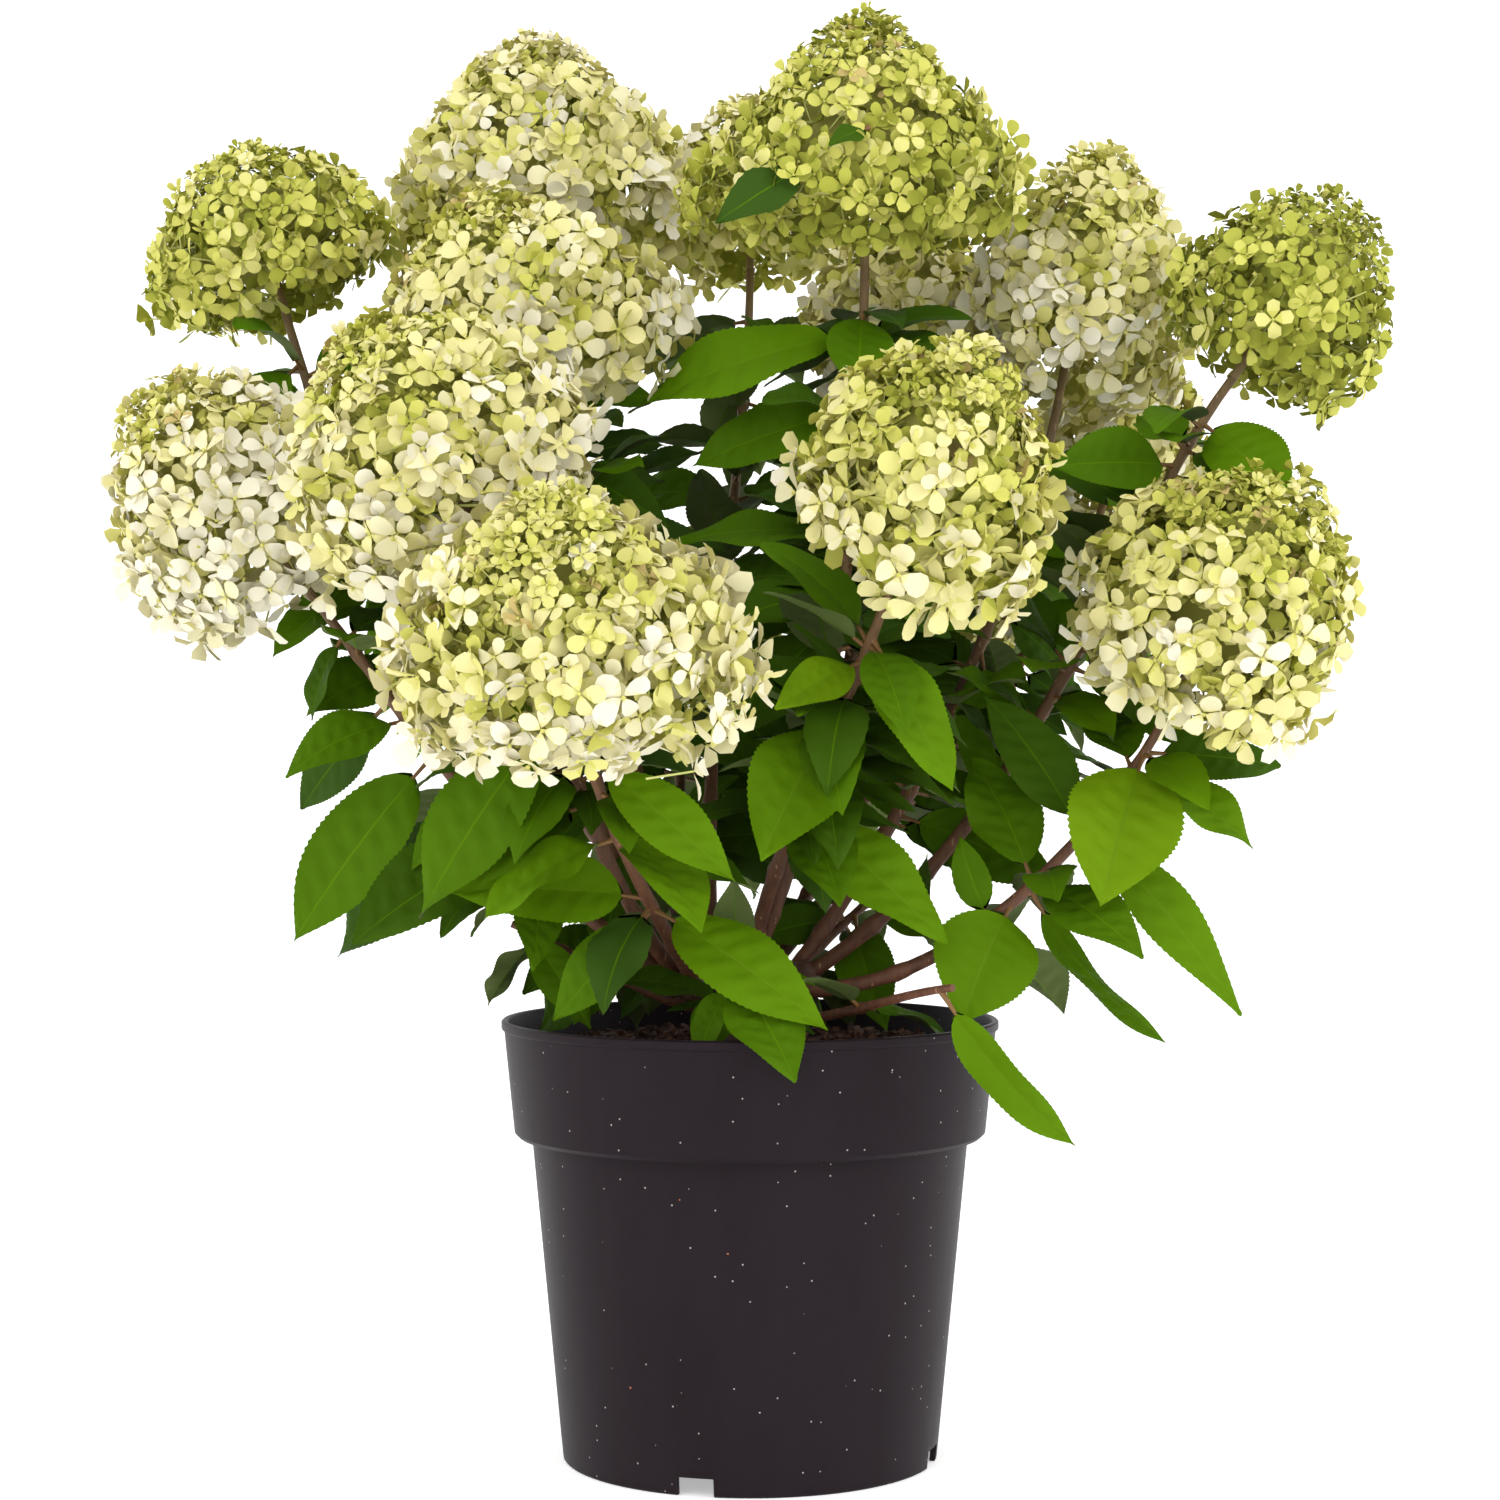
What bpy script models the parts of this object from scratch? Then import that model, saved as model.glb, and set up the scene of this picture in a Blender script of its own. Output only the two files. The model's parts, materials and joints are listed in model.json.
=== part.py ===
# A panicle hydrangea in a round nursery pot. Sizes are in metres, +Z is up, and the front is at -Y.
# The origin is the centre of the pot's underside, on the ground.
import math
import random
from collections import namedtuple

import bmesh
import bpy
from mathutils import Matrix, Quaternion, Vector, noise
from mathutils.bvhtree import BVHTree

# Clear space between two pieces that touch on the real plant
GAP = 0.0003

# Edges sharper than this stay sharp in the shading
SMOOTH_ANGLE = math.radians(40)

# The pot: a thin tapered wall with a wider collar, a raised floor, a notched skirt and a middle foot
POT_HEIGHT = 0.212
RIM_RADIUS = 0.1195
LIP_HEIGHT = 0.004
LIP_PROUD = 0.0012
COLLAR_HEIGHT = 0.056
COLLAR_FOOT_RADIUS = 0.1143
COLLAR_CHAMFER = 0.002
BODY_TOP_RADIUS = 0.106
BASE_RADIUS = 0.0907
WALL = 0.002
SKIRT_WALL = 0.003
FLOOR_LIFT = 0.010
MIDDLE_FOOT_RADIUS = 0.022
NOTCHES = 4
NOTCH_WIDTH = 0.017
NOTCH_HEIGHT = 0.0085
FIRST_NOTCH = math.radians(254)
DRAIN_HOLES = 6
DRAIN_RADIUS = 0.006
DRAIN_RING = 0.062
DRAIN_SIDES = 8
POT_STEPS = 24

# The compost: its level at the wall, how far it rises to the middle, and the well round the stool's foot
COMPOST_TOP = 0.197
COMPOST_RISE = 0.004

# The stool: a short woody trunk with flared foot, and arms that end in knobs. An arm starts a share of the
# way up the trunk, and its curve has handles at shares of its length.
STOOL_PLACE = Vector((-0.012, 0.0))
TRUNK_HEIGHT = 0.026
TRUNK_FOOT_RADIUS = 0.017
TRUNK_RADIUS = 0.0115
TRUNK_SIDES = 10
ARM_RADIUS = 0.0068
ARM_TIP_RADIUS = 0.0052
KNOB_RADIUS = 0.0078
ARM_RISE = math.radians(24)
ARM_START_SHARE = 0.55
ARM_HANDLES = (0.4, 0.3)
STUB_LENGTH = 0.014
STUB_LIMIT = 0.110

# The canes: radius at the stool and under a flower head, the clear space between two, the handles of their
# curve as shares of its reach, how much a cane follows its arm at first, and how deep it ends in its head
CANE_RADIUS = 0.0038
CANE_TIP_RADIUS = 0.0022
CANE_CLEAR = 0.004
CANE_HANDLES = (0.38, 0.24)
CANE_FOLLOW = 0.3
CANE_END_SHARE = 0.42
BOUGH_SPANS = 4
STEM_SPANS = 3
STUB_SPANS = 2
PEDUNCLE_LENGTH = 0.018
PEDUNCLE_DEPTH = 0.030

# The low shoots: thickness beside a cane's, where they start on the trunk, their handles and their first dip
LOW_RADIUS_SHARE = 0.8
LOW_START_SHARE = 0.6
LOW_HANDLES = (0.35, 0.3)
LOW_DIP = 20

# How canes are bowed apart: the rounds, the share of a move made in each, what the nearer and the further
# handle take of it, and the samples that are left out at a limb's foot (one in so many) and under its head
APART_ROUNDS = 60
APART_STEP = 0.5
BOW_SHARES = (1.6, 0.6)
FOOT_PART = 6
HEAD_SAMPLES = 6

# The flower heads: the share of the radius that the core fills, how wide each floret's top is, how many faces
# are drawn out, where florets end on the underside, their unevenness, the lumps, and the flatter underside
CORE_SHARE = 0.86
FLORET_SHARE = 0.78
FLORET_COVER = 0.36
FLORET_LOWEST = -0.82
FLORET_RISES = (0.75, 1.05)
FLORET_TWIST = 0.35
FLORET_SPREAD = (0.92, 1.05)
HEAD_LUMP = 0.08
LUMP_SCALE = 1.7
HEAD_WIDEST = 0.42
HEAD_UNDERSIDE = 0.86
HEAD_CUTS = 2

# The leaves: width of the ruled ones and thickness of all as shares of the length, the fold along the midrib,
# and the spacing
LEAF_LENGTH = 0.094
LOW_LEAF_LENGTH = 0.072
LEAF_WIDTH_SHARE = 0.46
LEAF_THICK_SHARE = 0.013
LEAF_FOLD = 0.26
LEAF_ROOT_RADIUS = 0.0013
LEAF_CLEAR = 0.0008
NODE_ROOM = 0.008
LEAF_STATIONS = (0.0, 0.30, 0.66, 1.0)
LEAF_HALF_WIDTHS = (0.0, 1.0, 0.80, 0.0)
BLADE_START = 0.16

# How the ruled leaves stand: their shrinking up the stem, their size, bend and droop between two limits, how
# much they lean along the stem, and how much the blade faces outwards
TIP_SHRINK = 0.30
RULED_SIZES = (0.88, 1.08)
RULED_BENDS = (20, 48)
RULED_DROOPS = (0.10, 0.60)
RULED_LEAN = 0.35
BLADE_OUT = 0.8
SEEN_FACING = Vector((0, -0.8, 0.6))

# What is tried for a leaf whose place is taken: a seen one turns towards the viewer and in the view, both in
# degrees, and shrinks; a ruled one turns round its stem in degrees, sinks and shrinks
SEEN_TRIES = (
    (0, 0, 1), (10, 0, 1), (-10, 0, 1), (0, 8, 1), (0, -8, 1),
    (20, 0, 0.95), (-20, 0, 0.95), (30, 10, 0.9), (-30, -10, 0.9), (40, -10, 0.85), (-40, 10, 0.85),
)
RULED_TRIES = (
    (0, 0, 1), (22, 0, 1), (-22, 0, 1), (0, 0.3, 1), (0, -0.3, 1),
    (40, 0.1, 0.85), (-40, 0.1, 0.85), (0, 0.2, 0.7), (0, -0.4, 0.7),
)

# Arms of the stool: compass heading in degrees from +X, and length
Arm = namedtuple("Arm", "heading length")
ARMS = {
    "front_left": Arm(232, 0.040),
    "left": Arm(172, 0.040),
    "back_left": Arm(118, 0.040),
    "back_right": Arm(58, 0.042),
    "right": Arm(2, 0.044),
    "front_right": Arm(300, 0.042),
}

# One row for each cane: its arm, how far out on the arm it starts, its head's centre, width and length,
# the compass way the head leans and how far, how steeply the cane leaves the stool, the share of it that
# is bare, its leaf pairs, the turn of the first pair, the tone of its flowers, and its head's taper upwards
Shoot = namedtuple("Shoot", "arm station centre width length heading lean rise bare pairs turn tone taper")
SHOOTS = (
    Shoot("left", 1.00, (-0.246, 0.060, 0.603), 0.128, 0.098, 170, 16, 52, 0.42, 4, 20, "lime", 0.45),
    Shoot("back_left", 0.62, (-0.114, 0.135, 0.656), 0.160, 0.148, 150, 8, 62, 0.38, 5, 50, "cream", 0.85),
    Shoot("left", 0.60, (-0.117, 0.010, 0.558), 0.160, 0.128, 205, 22, 60, 0.42, 4, 0, "cream", 0.70),
    Shoot("front_left", 0.62, (-0.145, -0.115, 0.481), 0.144, 0.130, 205, 32, 40, 0.40, 4, 35, "white", 0.60),
    Shoot("front_left", 1.00, (-0.247, -0.030, 0.465), 0.130, 0.142, 192, 38, 32, 0.27, 4, 70, "white", 0.62),
    Shoot("front_left", 0.30, (-0.079, -0.205, 0.399), 0.158, 0.132, 262, 42, 40, 0.22, 1, 20, "white", 0.85),
    Shoot("front_right", 0.30, (0.056, -0.005, 0.638), 0.156, 0.132, 270, 10, 72, 0.36, 5, 45, "lime", 0.85),
    Shoot("right", 0.62, (0.169, 0.070, 0.582), 0.118, 0.152, 20, 12, 55, 0.24, 5, 80, "cream", 0.72),
    Shoot("right", 1.00, (0.258, -0.025, 0.560), 0.112, 0.112, 355, 34, 34, 0.38, 5, 10, "lime", 0.40),
    Shoot("front_right", 0.40, (0.078, -0.150, 0.464), 0.122, 0.138, 300, 32, 84, 0.36, 5, 60, "white", 0.50),
    Shoot("front_right", 1.0, (0.218, -0.080, 0.413), 0.144, 0.136, 318, 30, -24, 0.34, 4, 30, "white", 0.42),
    Shoot("back_left", 0.28, (0.000, 0.215, 0.655), 0.110, 0.112, 90, 10, 65, 0.38, 5, 0, "cream", 0.70),
    Shoot("back_right", 0.30, (0.083, 0.140, 0.577), 0.108, 0.112, 60, 12, 60, 0.38, 5, 55, "cream", 0.60),
    Shoot("back_right", 1.00, (0.203, 0.175, 0.511), 0.100, 0.108, 40, 24, 45, 0.40, 5, 12, "cream", 0.55),
    Shoot("back_left", 1.00, (-0.190, 0.175, 0.500), 0.118, 0.120, 135, 30, 45, 0.40, 4, 75, "white", 0.60),
    Shoot("back_left", 0.82, (-0.045, 0.205, 0.415), 0.122, 0.120, 100, 34, 36, 0.40, 4, 40, "lime", 0.55),
    Shoot("back_right", 0.66, (0.115, 0.225, 0.450), 0.116, 0.120, 62, 30, 42, 0.40, 4, 5, "cream", 0.60),
)

# How single heads depart from their even dome: the way from the head's centre, the degrees over which the change
# fades, and the change as a share of the radius
Bulge = namedtuple("Bulge", "way spread amount")
BULGES = {
    1: (Bulge((0.67, 0, -0.74), 22, -0.34), Bulge((-0.77, 0, -0.64), 20, 0.16)),
    2: (Bulge((-0.71, 0, 0.71), 22, -0.16), Bulge((0.79, 0, -0.62), 22, 0.14)),
    3: (Bulge((0.67, 0, 0.74), 22, -0.14), Bulge((0.74, 0, -0.67), 22, 0.08)),
    6: (
        Bulge((0.71, 0, 0.71), 28, -0.26),
        Bulge((0, 0, -1), 25, -0.28),
        Bulge((0.62, 0, -0.78), 24, 0.08),
        Bulge((-0.71, 0, 0.71), 25, -0.14),
    ),
    7: (
        Bulge((-0.85, 0, -0.53), 20, 0.20),
        Bulge((0.77, 0, 0.64), 25, -0.14),
        Bulge((0.50, 0, -0.87), 22, -0.15),
        Bulge((-0.87, 0, 0.50), 20, -0.10),
    ),
    8: (Bulge((-0.77, 0, -0.64), 25, -0.28), Bulge((0.50, 0, -0.87), 20, 0.10)),
    9: (Bulge((0.71, 0, 0.71), 22, 0.10), Bulge((-0.64, 0, -0.77), 20, -0.24)),
    10: (Bulge((-0.77, 0, -0.64), 26, -0.38), Bulge((0.57, 0, -0.82), 20, 0.16)),
    11: (
        Bulge((0.82, 0, -0.57), 24, -0.28),
        Bulge((0.64, 0, 0.77), 20, 0.12),
        Bulge((-0.64, 0, -0.77), 22, 0.12),
        Bulge((-0.97, 0, -0.26), 15, -0.16),
    ),
}

# Short leafy shoots from the stool that fill the crown's foot: heading, rise and length
LowShoot = namedtuple("LowShoot", "heading rise length pairs turn")
LOW_SHOOTS = (
    LowShoot(274, 14, 0.095, 2, 0),
    LowShoot(187, 22, 0.112, 2, 45),
    LowShoot(142, 30, 0.095, 4, 20),
    LowShoot(28, 32, 0.100, 4, 60),
    LowShoot(311, 7, 0.158, 1, 30),
)

# The leaves that stand out from the front, for each cane and low shoot: how far up the limb, the way the
# leaf points seen from the front (degrees from +X towards +Z), its tip towards the viewer, its length,
# its width as a share of that, the turn of the blade on its midrib, and how far it bends
Seen = namedtuple("Seen", "share swing toward length wide turn bend", defaults=(26,))
SEEN = {
    "01": (Seen(0.93, 230, 10, 0.060, 0.50, 0), Seen(0.91, 35, -25, 0.050, 0.42, 30)),
    "03": (Seen(0.94, 332, 5, 0.062, 0.46, 20),),
    "04": (Seen(0.66, 236, 8, 0.113, 0.40, 0), Seen(0.72, 205, 20, 0.045, 0.46, 40)),
    "05": (
        Seen(0.62, 234, 8, 0.112, 0.42, 0),
        Seen(0.48, 223, -22, 0.112, 0.40, 0),
        Seen(0.75, 230, -22, 0.078, 0.44, 0),
        Seen(0.90, 250, 5, 0.044, 0.50, 55),
        Seen(0.33, 268, 12, 0.074, 0.42, -25),
    ),
    "06": (
        Seen(0.42, 178, 12, 0.092, 0.48, 0),
        Seen(0.92, 318, 8, 0.086, 0.38, 0),
        Seen(0.36, 326, 32, 0.112, 0.36, 0),
        Seen(0.37, 231, 4, 0.070, 0.44, 0),
    ),
    "07": (
        Seen(0.90, 199, 6, 0.124, 0.36, 10),
        Seen(0.80, 200, 2, 0.088, 0.42, 0),
        Seen(0.95, 262, 34, 0.055, 0.66, 0),
        Seen(0.63, 182, 0, 0.088, 0.40, 35),
        Seen(0.52, 225, -6, 0.094, 0.42, 0),
    ),
    "08": (
        Seen(0.60, 278, 12, 0.088, 0.50, 0),
        Seen(0.31, 336, 6, 0.088, 0.40, 0),
        Seen(0.66, 321, -28, 0.066, 0.42, 0),
    ),
    "09": (Seen(0.86, 184, 18, 0.064, 0.58, 0), Seen(0.95, 311, 28, 0.062, 0.70, 0)),
    "10": (
        Seen(0.70, 240, 30, 0.088, 0.56, 0),
        Seen(0.94, 295, 12, 0.080, 0.42, 0),
        Seen(0.83, 212, 30, 0.052, 0.52, 0),
        Seen(0.46, 316, 16, 0.096, 0.42, 0),
    ),
    "11": (
        Seen(0.52, 242, 20, 0.066, 0.78, 0),
        Seen(0.93, 250, 28, 0.085, 0.66, 0),
        Seen(0.72, 312, 6, 0.114, 0.34, 20),
        Seen(0.56, 311, 0, 0.098, 0.42, 98),
        Seen(0.94, 352, -18, 0.074, 0.40, 0),
        Seen(0.70, 121, -14, 0.082, 0.40, 0),
        Seen(0.86, 290, -20, 0.042, 0.42, 0),
    ),
    "12": (Seen(0.55, 5, 5, 0.100, 0.42, 0), Seen(0.44, 300, 0, 0.090, 0.42, 0)),
    "13": (Seen(0.52, 299, 10, 0.086, 0.50, 0), Seen(0.58, 250, 5, 0.090, 0.46, 0)),
    "low_1": (
        Seen(0.92, 303, 48, 0.075, 0.52, 0, 32),
        Seen(0.50, 232, 35, 0.054, 0.50, 0, 40),
    ),
    "low_2": (Seen(0.96, 304, 20, 0.060, 0.42, 0), Seen(0.55, 236, 0, 0.062, 0.46, 0)),
    "low_4": (
        Seen(0.85, 281, 25, 0.070, 0.44, 20),
        Seen(0.80, 188, 30, 0.056, 0.44, 0),
    ),
    "low_5": (Seen(0.97, 312, 5, 0.094, 0.42, 88),),
}

# Colour, roughness and metallic value of each finish
FINISHES = {
    "pot": ((0.018, 0.014, 0.016), 0.42, 0.0),
    "compost": ((0.060, 0.026, 0.017), 0.95, 0.0),
    "stool": ((0.090, 0.048, 0.028), 0.85, 0.0),
    "bough": ((0.150, 0.060, 0.032), 0.60, 0.0),
    "leaves": ((0.085, 0.190, 0.022), 0.50, 0.0),
    "lime": ((0.480, 0.580, 0.160), 0.70, 0.0),
    "cream": ((0.720, 0.720, 0.450), 0.70, 0.0),
    "white": ((0.820, 0.810, 0.700), 0.70, 0.0),
}

PLANT = "potted_hydrangea"
HELPERS = "cutters"


def clear_scene():
    for obj in list(bpy.data.objects):
        bpy.data.objects.remove(obj)
    for collection in list(bpy.data.collections):
        bpy.data.collections.remove(collection)


def new_collection(name, hidden=False):
    collection = bpy.data.collections.new(name)
    collection.hide_render = hidden
    bpy.context.scene.collection.children.link(collection)
    return collection


def material(name, finish):
    colour, roughness, metallic = FINISHES[finish]
    made = bpy.data.materials.new(f"{name}_{finish}")
    made.use_nodes = True
    shader = made.node_tree.nodes["Principled BSDF"]
    shader.inputs["Base Color"].default_value = (*colour, 1)
    shader.inputs["Roughness"].default_value = roughness
    shader.inputs["Metallic"].default_value = metallic
    return made


def object_of(bm, name, collection):
    mesh = bpy.data.meshes.new(name)
    bm.to_mesh(mesh)
    bm.free()
    obj = bpy.data.objects.new(name, mesh)
    collection.objects.link(obj)
    return obj


def evaluated_mesh(obj):
    graph = bpy.context.evaluated_depsgraph_get()
    return bpy.data.meshes.new_from_object(obj.evaluated_get(graph))


def bake_modifiers(obj):
    """Replaces the object's mesh by its evaluated one and drops the modifiers."""
    mesh = evaluated_mesh(obj)
    obj.modifiers.clear()
    obj.data = mesh


def drop_objects(collection):
    for obj in list(collection.objects):
        bpy.data.objects.remove(obj)


def keep_largest_body(obj):
    """Drops loose scraps and sealed hollows, whose faces share no edge with the largest body's."""
    bm = bmesh.new()
    bm.from_mesh(obj.data)
    unseen = set(bm.faces)
    bodies = []
    while unseen:
        body, ahead = [], [unseen.pop()]
        while ahead:
            face = ahead.pop()
            body.append(face)
            for edge in face.edges:
                for other in edge.link_faces:
                    if other in unseen:
                        unseen.remove(other)
                        ahead.append(other)
        bodies.append(body)
    bodies.sort(key=len)
    scraps = [face for body in bodies[:-1] for face in body]
    bmesh.ops.delete(bm, geom=scraps, context="FACES")
    bm.to_mesh(obj.data)
    bm.free()


def fuse(obj, operands):
    """One Boolean union of the object with all that the collection holds, applied."""
    modifier = obj.modifiers.new("fuse", "BOOLEAN")
    modifier.operation = "UNION"
    modifier.operand_type = "COLLECTION"
    modifier.collection = operands
    modifier.solver = "EXACT"
    bake_modifiers(obj)
    drop_objects(operands)
    keep_largest_body(obj)


def dress(obj, finish, smooth=True):
    """Gives the object its own material, and shades it smooth between sharp edges."""
    obj.data.materials.clear()
    obj.data.materials.append(material(obj.name, finish))
    if smooth:
        obj.data.shade_smooth()
        obj.data.set_sharp_from_angle(angle=SMOOTH_ANGLE)


# Round pieces
def turned(name, profile, collection):
    """A profile of (radius, height) points, turned once round the Z axis."""
    mesh = bpy.data.meshes.new(name)
    edges = [(i, i + 1) for i in range(len(profile) - 1)]
    mesh.from_pydata([(radius, 0, height) for radius, height in profile], edges, [])
    obj = bpy.data.objects.new(name, mesh)
    collection.objects.link(obj)
    screw = obj.modifiers.new("turn", "SCREW")
    screw.steps = screw.render_steps = POT_STEPS
    screw.use_merge_vertices = True
    screw.merge_threshold = 0.00001
    bake_modifiers(obj)
    return obj


def body_radius(height):
    """Outer radius of the pot's body at a height, below the collar."""
    share = height / (POT_HEIGHT - COLLAR_HEIGHT)
    return BASE_RADIUS + (BODY_TOP_RADIUS - BASE_RADIUS) * share


def inner_profile(gap):
    """The pot's inside from the floor up to the collar, set in by a gap: a list of (radius, height)."""
    floor = FLOOR_LIFT + WALL
    step = POT_HEIGHT - COLLAR_HEIGHT
    return [
        (0, floor + gap),
        (body_radius(floor) - WALL - gap, floor + gap),
        (BODY_TOP_RADIUS - WALL - gap, step + gap),
        (COLLAR_FOOT_RADIUS - WALL - gap, step + COLLAR_CHAMFER + WALL + gap),
    ]


def make_pot(parts, cutters):
    step = POT_HEIGHT - COLLAR_HEIGHT
    outside = [
        (RIM_RADIUS - WALL, POT_HEIGHT),
        (RIM_RADIUS + LIP_PROUD, POT_HEIGHT),
        (RIM_RADIUS + LIP_PROUD, POT_HEIGHT - LIP_HEIGHT),
        (RIM_RADIUS, POT_HEIGHT - LIP_HEIGHT - LIP_PROUD),
        (COLLAR_FOOT_RADIUS, step + COLLAR_CHAMFER),
        (COLLAR_FOOT_RADIUS - COLLAR_CHAMFER, step),
        (BODY_TOP_RADIUS, step),
        (BASE_RADIUS, 0),
        (BASE_RADIUS - SKIRT_WALL, 0),
        (body_radius(FLOOR_LIFT) - SKIRT_WALL, FLOOR_LIFT),
        (MIDDLE_FOOT_RADIUS, FLOOR_LIFT),
        (MIDDLE_FOOT_RADIUS, 0),
        (0, 0),
    ]
    pot = turned("pot", inner_profile(0) + outside, parts)
    for number in range(NOTCHES):
        bm = bmesh.new()
        bmesh.ops.create_cube(bm, size=1)
        size = (4 * SKIRT_WALL, NOTCH_WIDTH, 2 * NOTCH_HEIGHT)
        bmesh.ops.scale(bm, vec=size, verts=bm.verts)
        bmesh.ops.translate(bm, vec=(BASE_RADIUS - SKIRT_WALL / 2, 0, 0), verts=bm.verts)
        turn = Matrix.Rotation(FIRST_NOTCH + number * math.tau / NOTCHES, 3, "Z")
        bmesh.ops.rotate(bm, matrix=turn, verts=bm.verts)
        object_of(bm, f"notch_cutter_{number + 1}", cutters).display_type = "WIRE"
    for number in range(DRAIN_HOLES):
        bm = bmesh.new()
        bmesh.ops.create_cone(
            bm, cap_ends=True, segments=DRAIN_SIDES,
            radius1=DRAIN_RADIUS, radius2=DRAIN_RADIUS, depth=6 * WALL,
        )
        bmesh.ops.translate(bm, vec=(DRAIN_RING, 0, FLOOR_LIFT + WALL / 2), verts=bm.verts)
        turn = Matrix.Rotation((number + 0.5) * math.tau / DRAIN_HOLES, 3, "Z")
        bmesh.ops.rotate(bm, matrix=turn, verts=bm.verts)
        object_of(bm, f"drain_cutter_{number + 1}", cutters).display_type = "WIRE"
    cut = pot.modifiers.new("notches and drains", "BOOLEAN")
    cut.operation = "DIFFERENCE"
    cut.operand_type = "COLLECTION"
    cut.collection = cutters
    cut.solver = "EXACT"
    bake_modifiers(pot)
    drop_objects(cutters)
    dress(pot, "pot")
    return pot


def make_compost(parts):
    wall = COLLAR_FOOT_RADIUS - WALL - GAP
    rise_radius = TRUNK_FOOT_RADIUS + 2 * abs(STOOL_PLACE.x)
    profile = [
        (0, COMPOST_TOP + COMPOST_RISE),
        (rise_radius, COMPOST_TOP + COMPOST_RISE),
        (wall, COMPOST_TOP),
    ]
    compost = turned("compost", profile + inner_profile(GAP)[::-1], parts)
    dress(compost, "compost")
    return compost


# Limbs
class Limb:
    """A smooth tapering limb along a cubic curve, read by the distance from its foot."""

    def __init__(self, handles, foot_radius, tip_radius, samples=48):
        self.handles = [Vector(h) for h in handles]
        self.radii = (foot_radius, tip_radius)
        self.samples = samples
        self.measure()

    def measure(self):
        a, b, c, d = self.handles
        self.points = []
        for i in range(self.samples + 1):
            t = i / self.samples
            s = 1 - t
            self.points.append(s**3 * a + 3 * s * s * t * b + 3 * s * t * t * c + t**3 * d)
        self.lengths = [0.0]
        for here, there in zip(self.points, self.points[1:]):
            self.lengths.append(self.lengths[-1] + (there - here).length)
        self.length = self.lengths[-1]

    def at(self, distance):
        """Point, direction and radius at a distance from the foot."""
        distance = min(max(distance, 0.0), self.length)
        i = 0
        while i < self.samples - 1 and self.lengths[i + 1] < distance:
            i += 1
        span = self.lengths[i + 1] - self.lengths[i]
        share = (distance - self.lengths[i]) / span
        point = self.points[i].lerp(self.points[i + 1], share)
        before = self.points[max(i - 1, 0)]
        after = self.points[min(i + 2, self.samples)]
        foot, tip = self.radii
        radius = foot + (tip - foot) * distance / self.length
        return point, (after - before).normalized(), radius


def tube(name, ends, spans, collection, sides=6):
    """A round limb between two ends, each a point, a direction and a radius: a curve made a closed mesh."""
    (foot, _, _), (tip, _, _) = ends
    reach = (tip - foot).length / 3
    curve = bpy.data.curves.new(name, "CURVE")
    curve.dimensions = "3D"
    curve.resolution_u = spans
    curve.bevel_depth = 1.0
    curve.bevel_resolution = sides // 2 - 2
    curve.use_fill_caps = True
    spline = curve.splines.new("BEZIER")
    spline.bezier_points.add(1)
    for spot, (point, along, radius) in zip(spline.bezier_points, ends):
        spot.co = point
        spot.handle_left = point - along * reach
        spot.handle_right = point + along * reach
        spot.radius = radius
    guide = bpy.data.objects.new(name + "_guide", curve)
    collection.objects.link(guide)
    mesh = evaluated_mesh(guide)
    bpy.data.objects.remove(guide)
    bm = bmesh.new()
    bm.from_mesh(mesh)
    bmesh.ops.remove_doubles(bm, verts=bm.verts, dist=0.000001)
    bmesh.ops.recalc_face_normals(bm, faces=bm.faces)
    return object_of(bm, name, collection)


def compass(heading, rise):
    """Unit vector of a compass heading from +X and a rise above level, both in radians."""
    level = math.cos(rise)
    return Vector((level * math.cos(heading), level * math.sin(heading), math.sin(rise)))


def head_axis(shoot):
    return compass(math.radians(shoot.heading), math.radians(90 - shoot.lean))


def arm_limb(arm):
    heading = math.radians(arm.heading)
    foot = Vector((*STOOL_PLACE, COMPOST_TOP + COMPOST_RISE + ARM_START_SHARE * TRUNK_HEIGHT))
    out = compass(heading, ARM_RISE)
    first, last = ARM_HANDLES
    level = compass(heading, ARM_RISE * first)
    tip = foot + out * arm.length
    return Limb((foot, foot + level * arm.length * first, tip - out * arm.length * last, tip),
                ARM_RADIUS, ARM_TIP_RADIUS)


def cane_limb(shoot, arms):
    """The cane's curve: from its place on the arm, up and outwards, into the base of its head."""
    arm = arms[shoot.arm]
    foot, along, _ = arm.at(shoot.station * arm.length)
    axis = head_axis(shoot)
    end = Vector(shoot.centre) - axis * shoot.length * CANE_END_SHARE
    reach = end - foot
    start = compass(math.atan2(reach.y, reach.x), math.radians(shoot.rise)) + CANE_FOLLOW * along
    first, last = (share * reach.length for share in CANE_HANDLES)
    return Limb((foot, foot + start.normalized() * first, end - axis * last, end),
                CANE_RADIUS, CANE_TIP_RADIUS)


def low_limb(low):
    """A short shoot from the top of the stool's trunk."""
    foot = Vector((*STOOL_PLACE, COMPOST_TOP + COMPOST_RISE + LOW_START_SHARE * TRUNK_HEIGHT))
    heading = math.radians(low.heading)
    out = compass(heading, math.radians(low.rise))
    tip = foot + out * low.length
    start = compass(heading, math.radians(low.rise - LOW_DIP))
    first, last = (share * low.length for share in LOW_HANDLES)
    return Limb((foot, foot + start * first, tip - out * last, tip),
                CANE_RADIUS * LOW_RADIUS_SHARE, CANE_TIP_RADIUS * LOW_RADIUS_SHARE)


def keep_apart(canes):
    """Bows canes away from one another, and away from other shoots' heads, until all are clear."""
    need = 2 * CANE_RADIUS + CANE_CLEAR
    for _ in range(APART_ROUNDS):
        for i, (shoot, limb) in enumerate(canes):
            for j, (other_shoot, other) in enumerate(canes):
                if i == j:
                    continue
                push_from_head(limb, other_shoot)
                if i < j:
                    push_from_cane(limb, other, need)
        for _, limb in canes:
            limb.measure()


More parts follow.
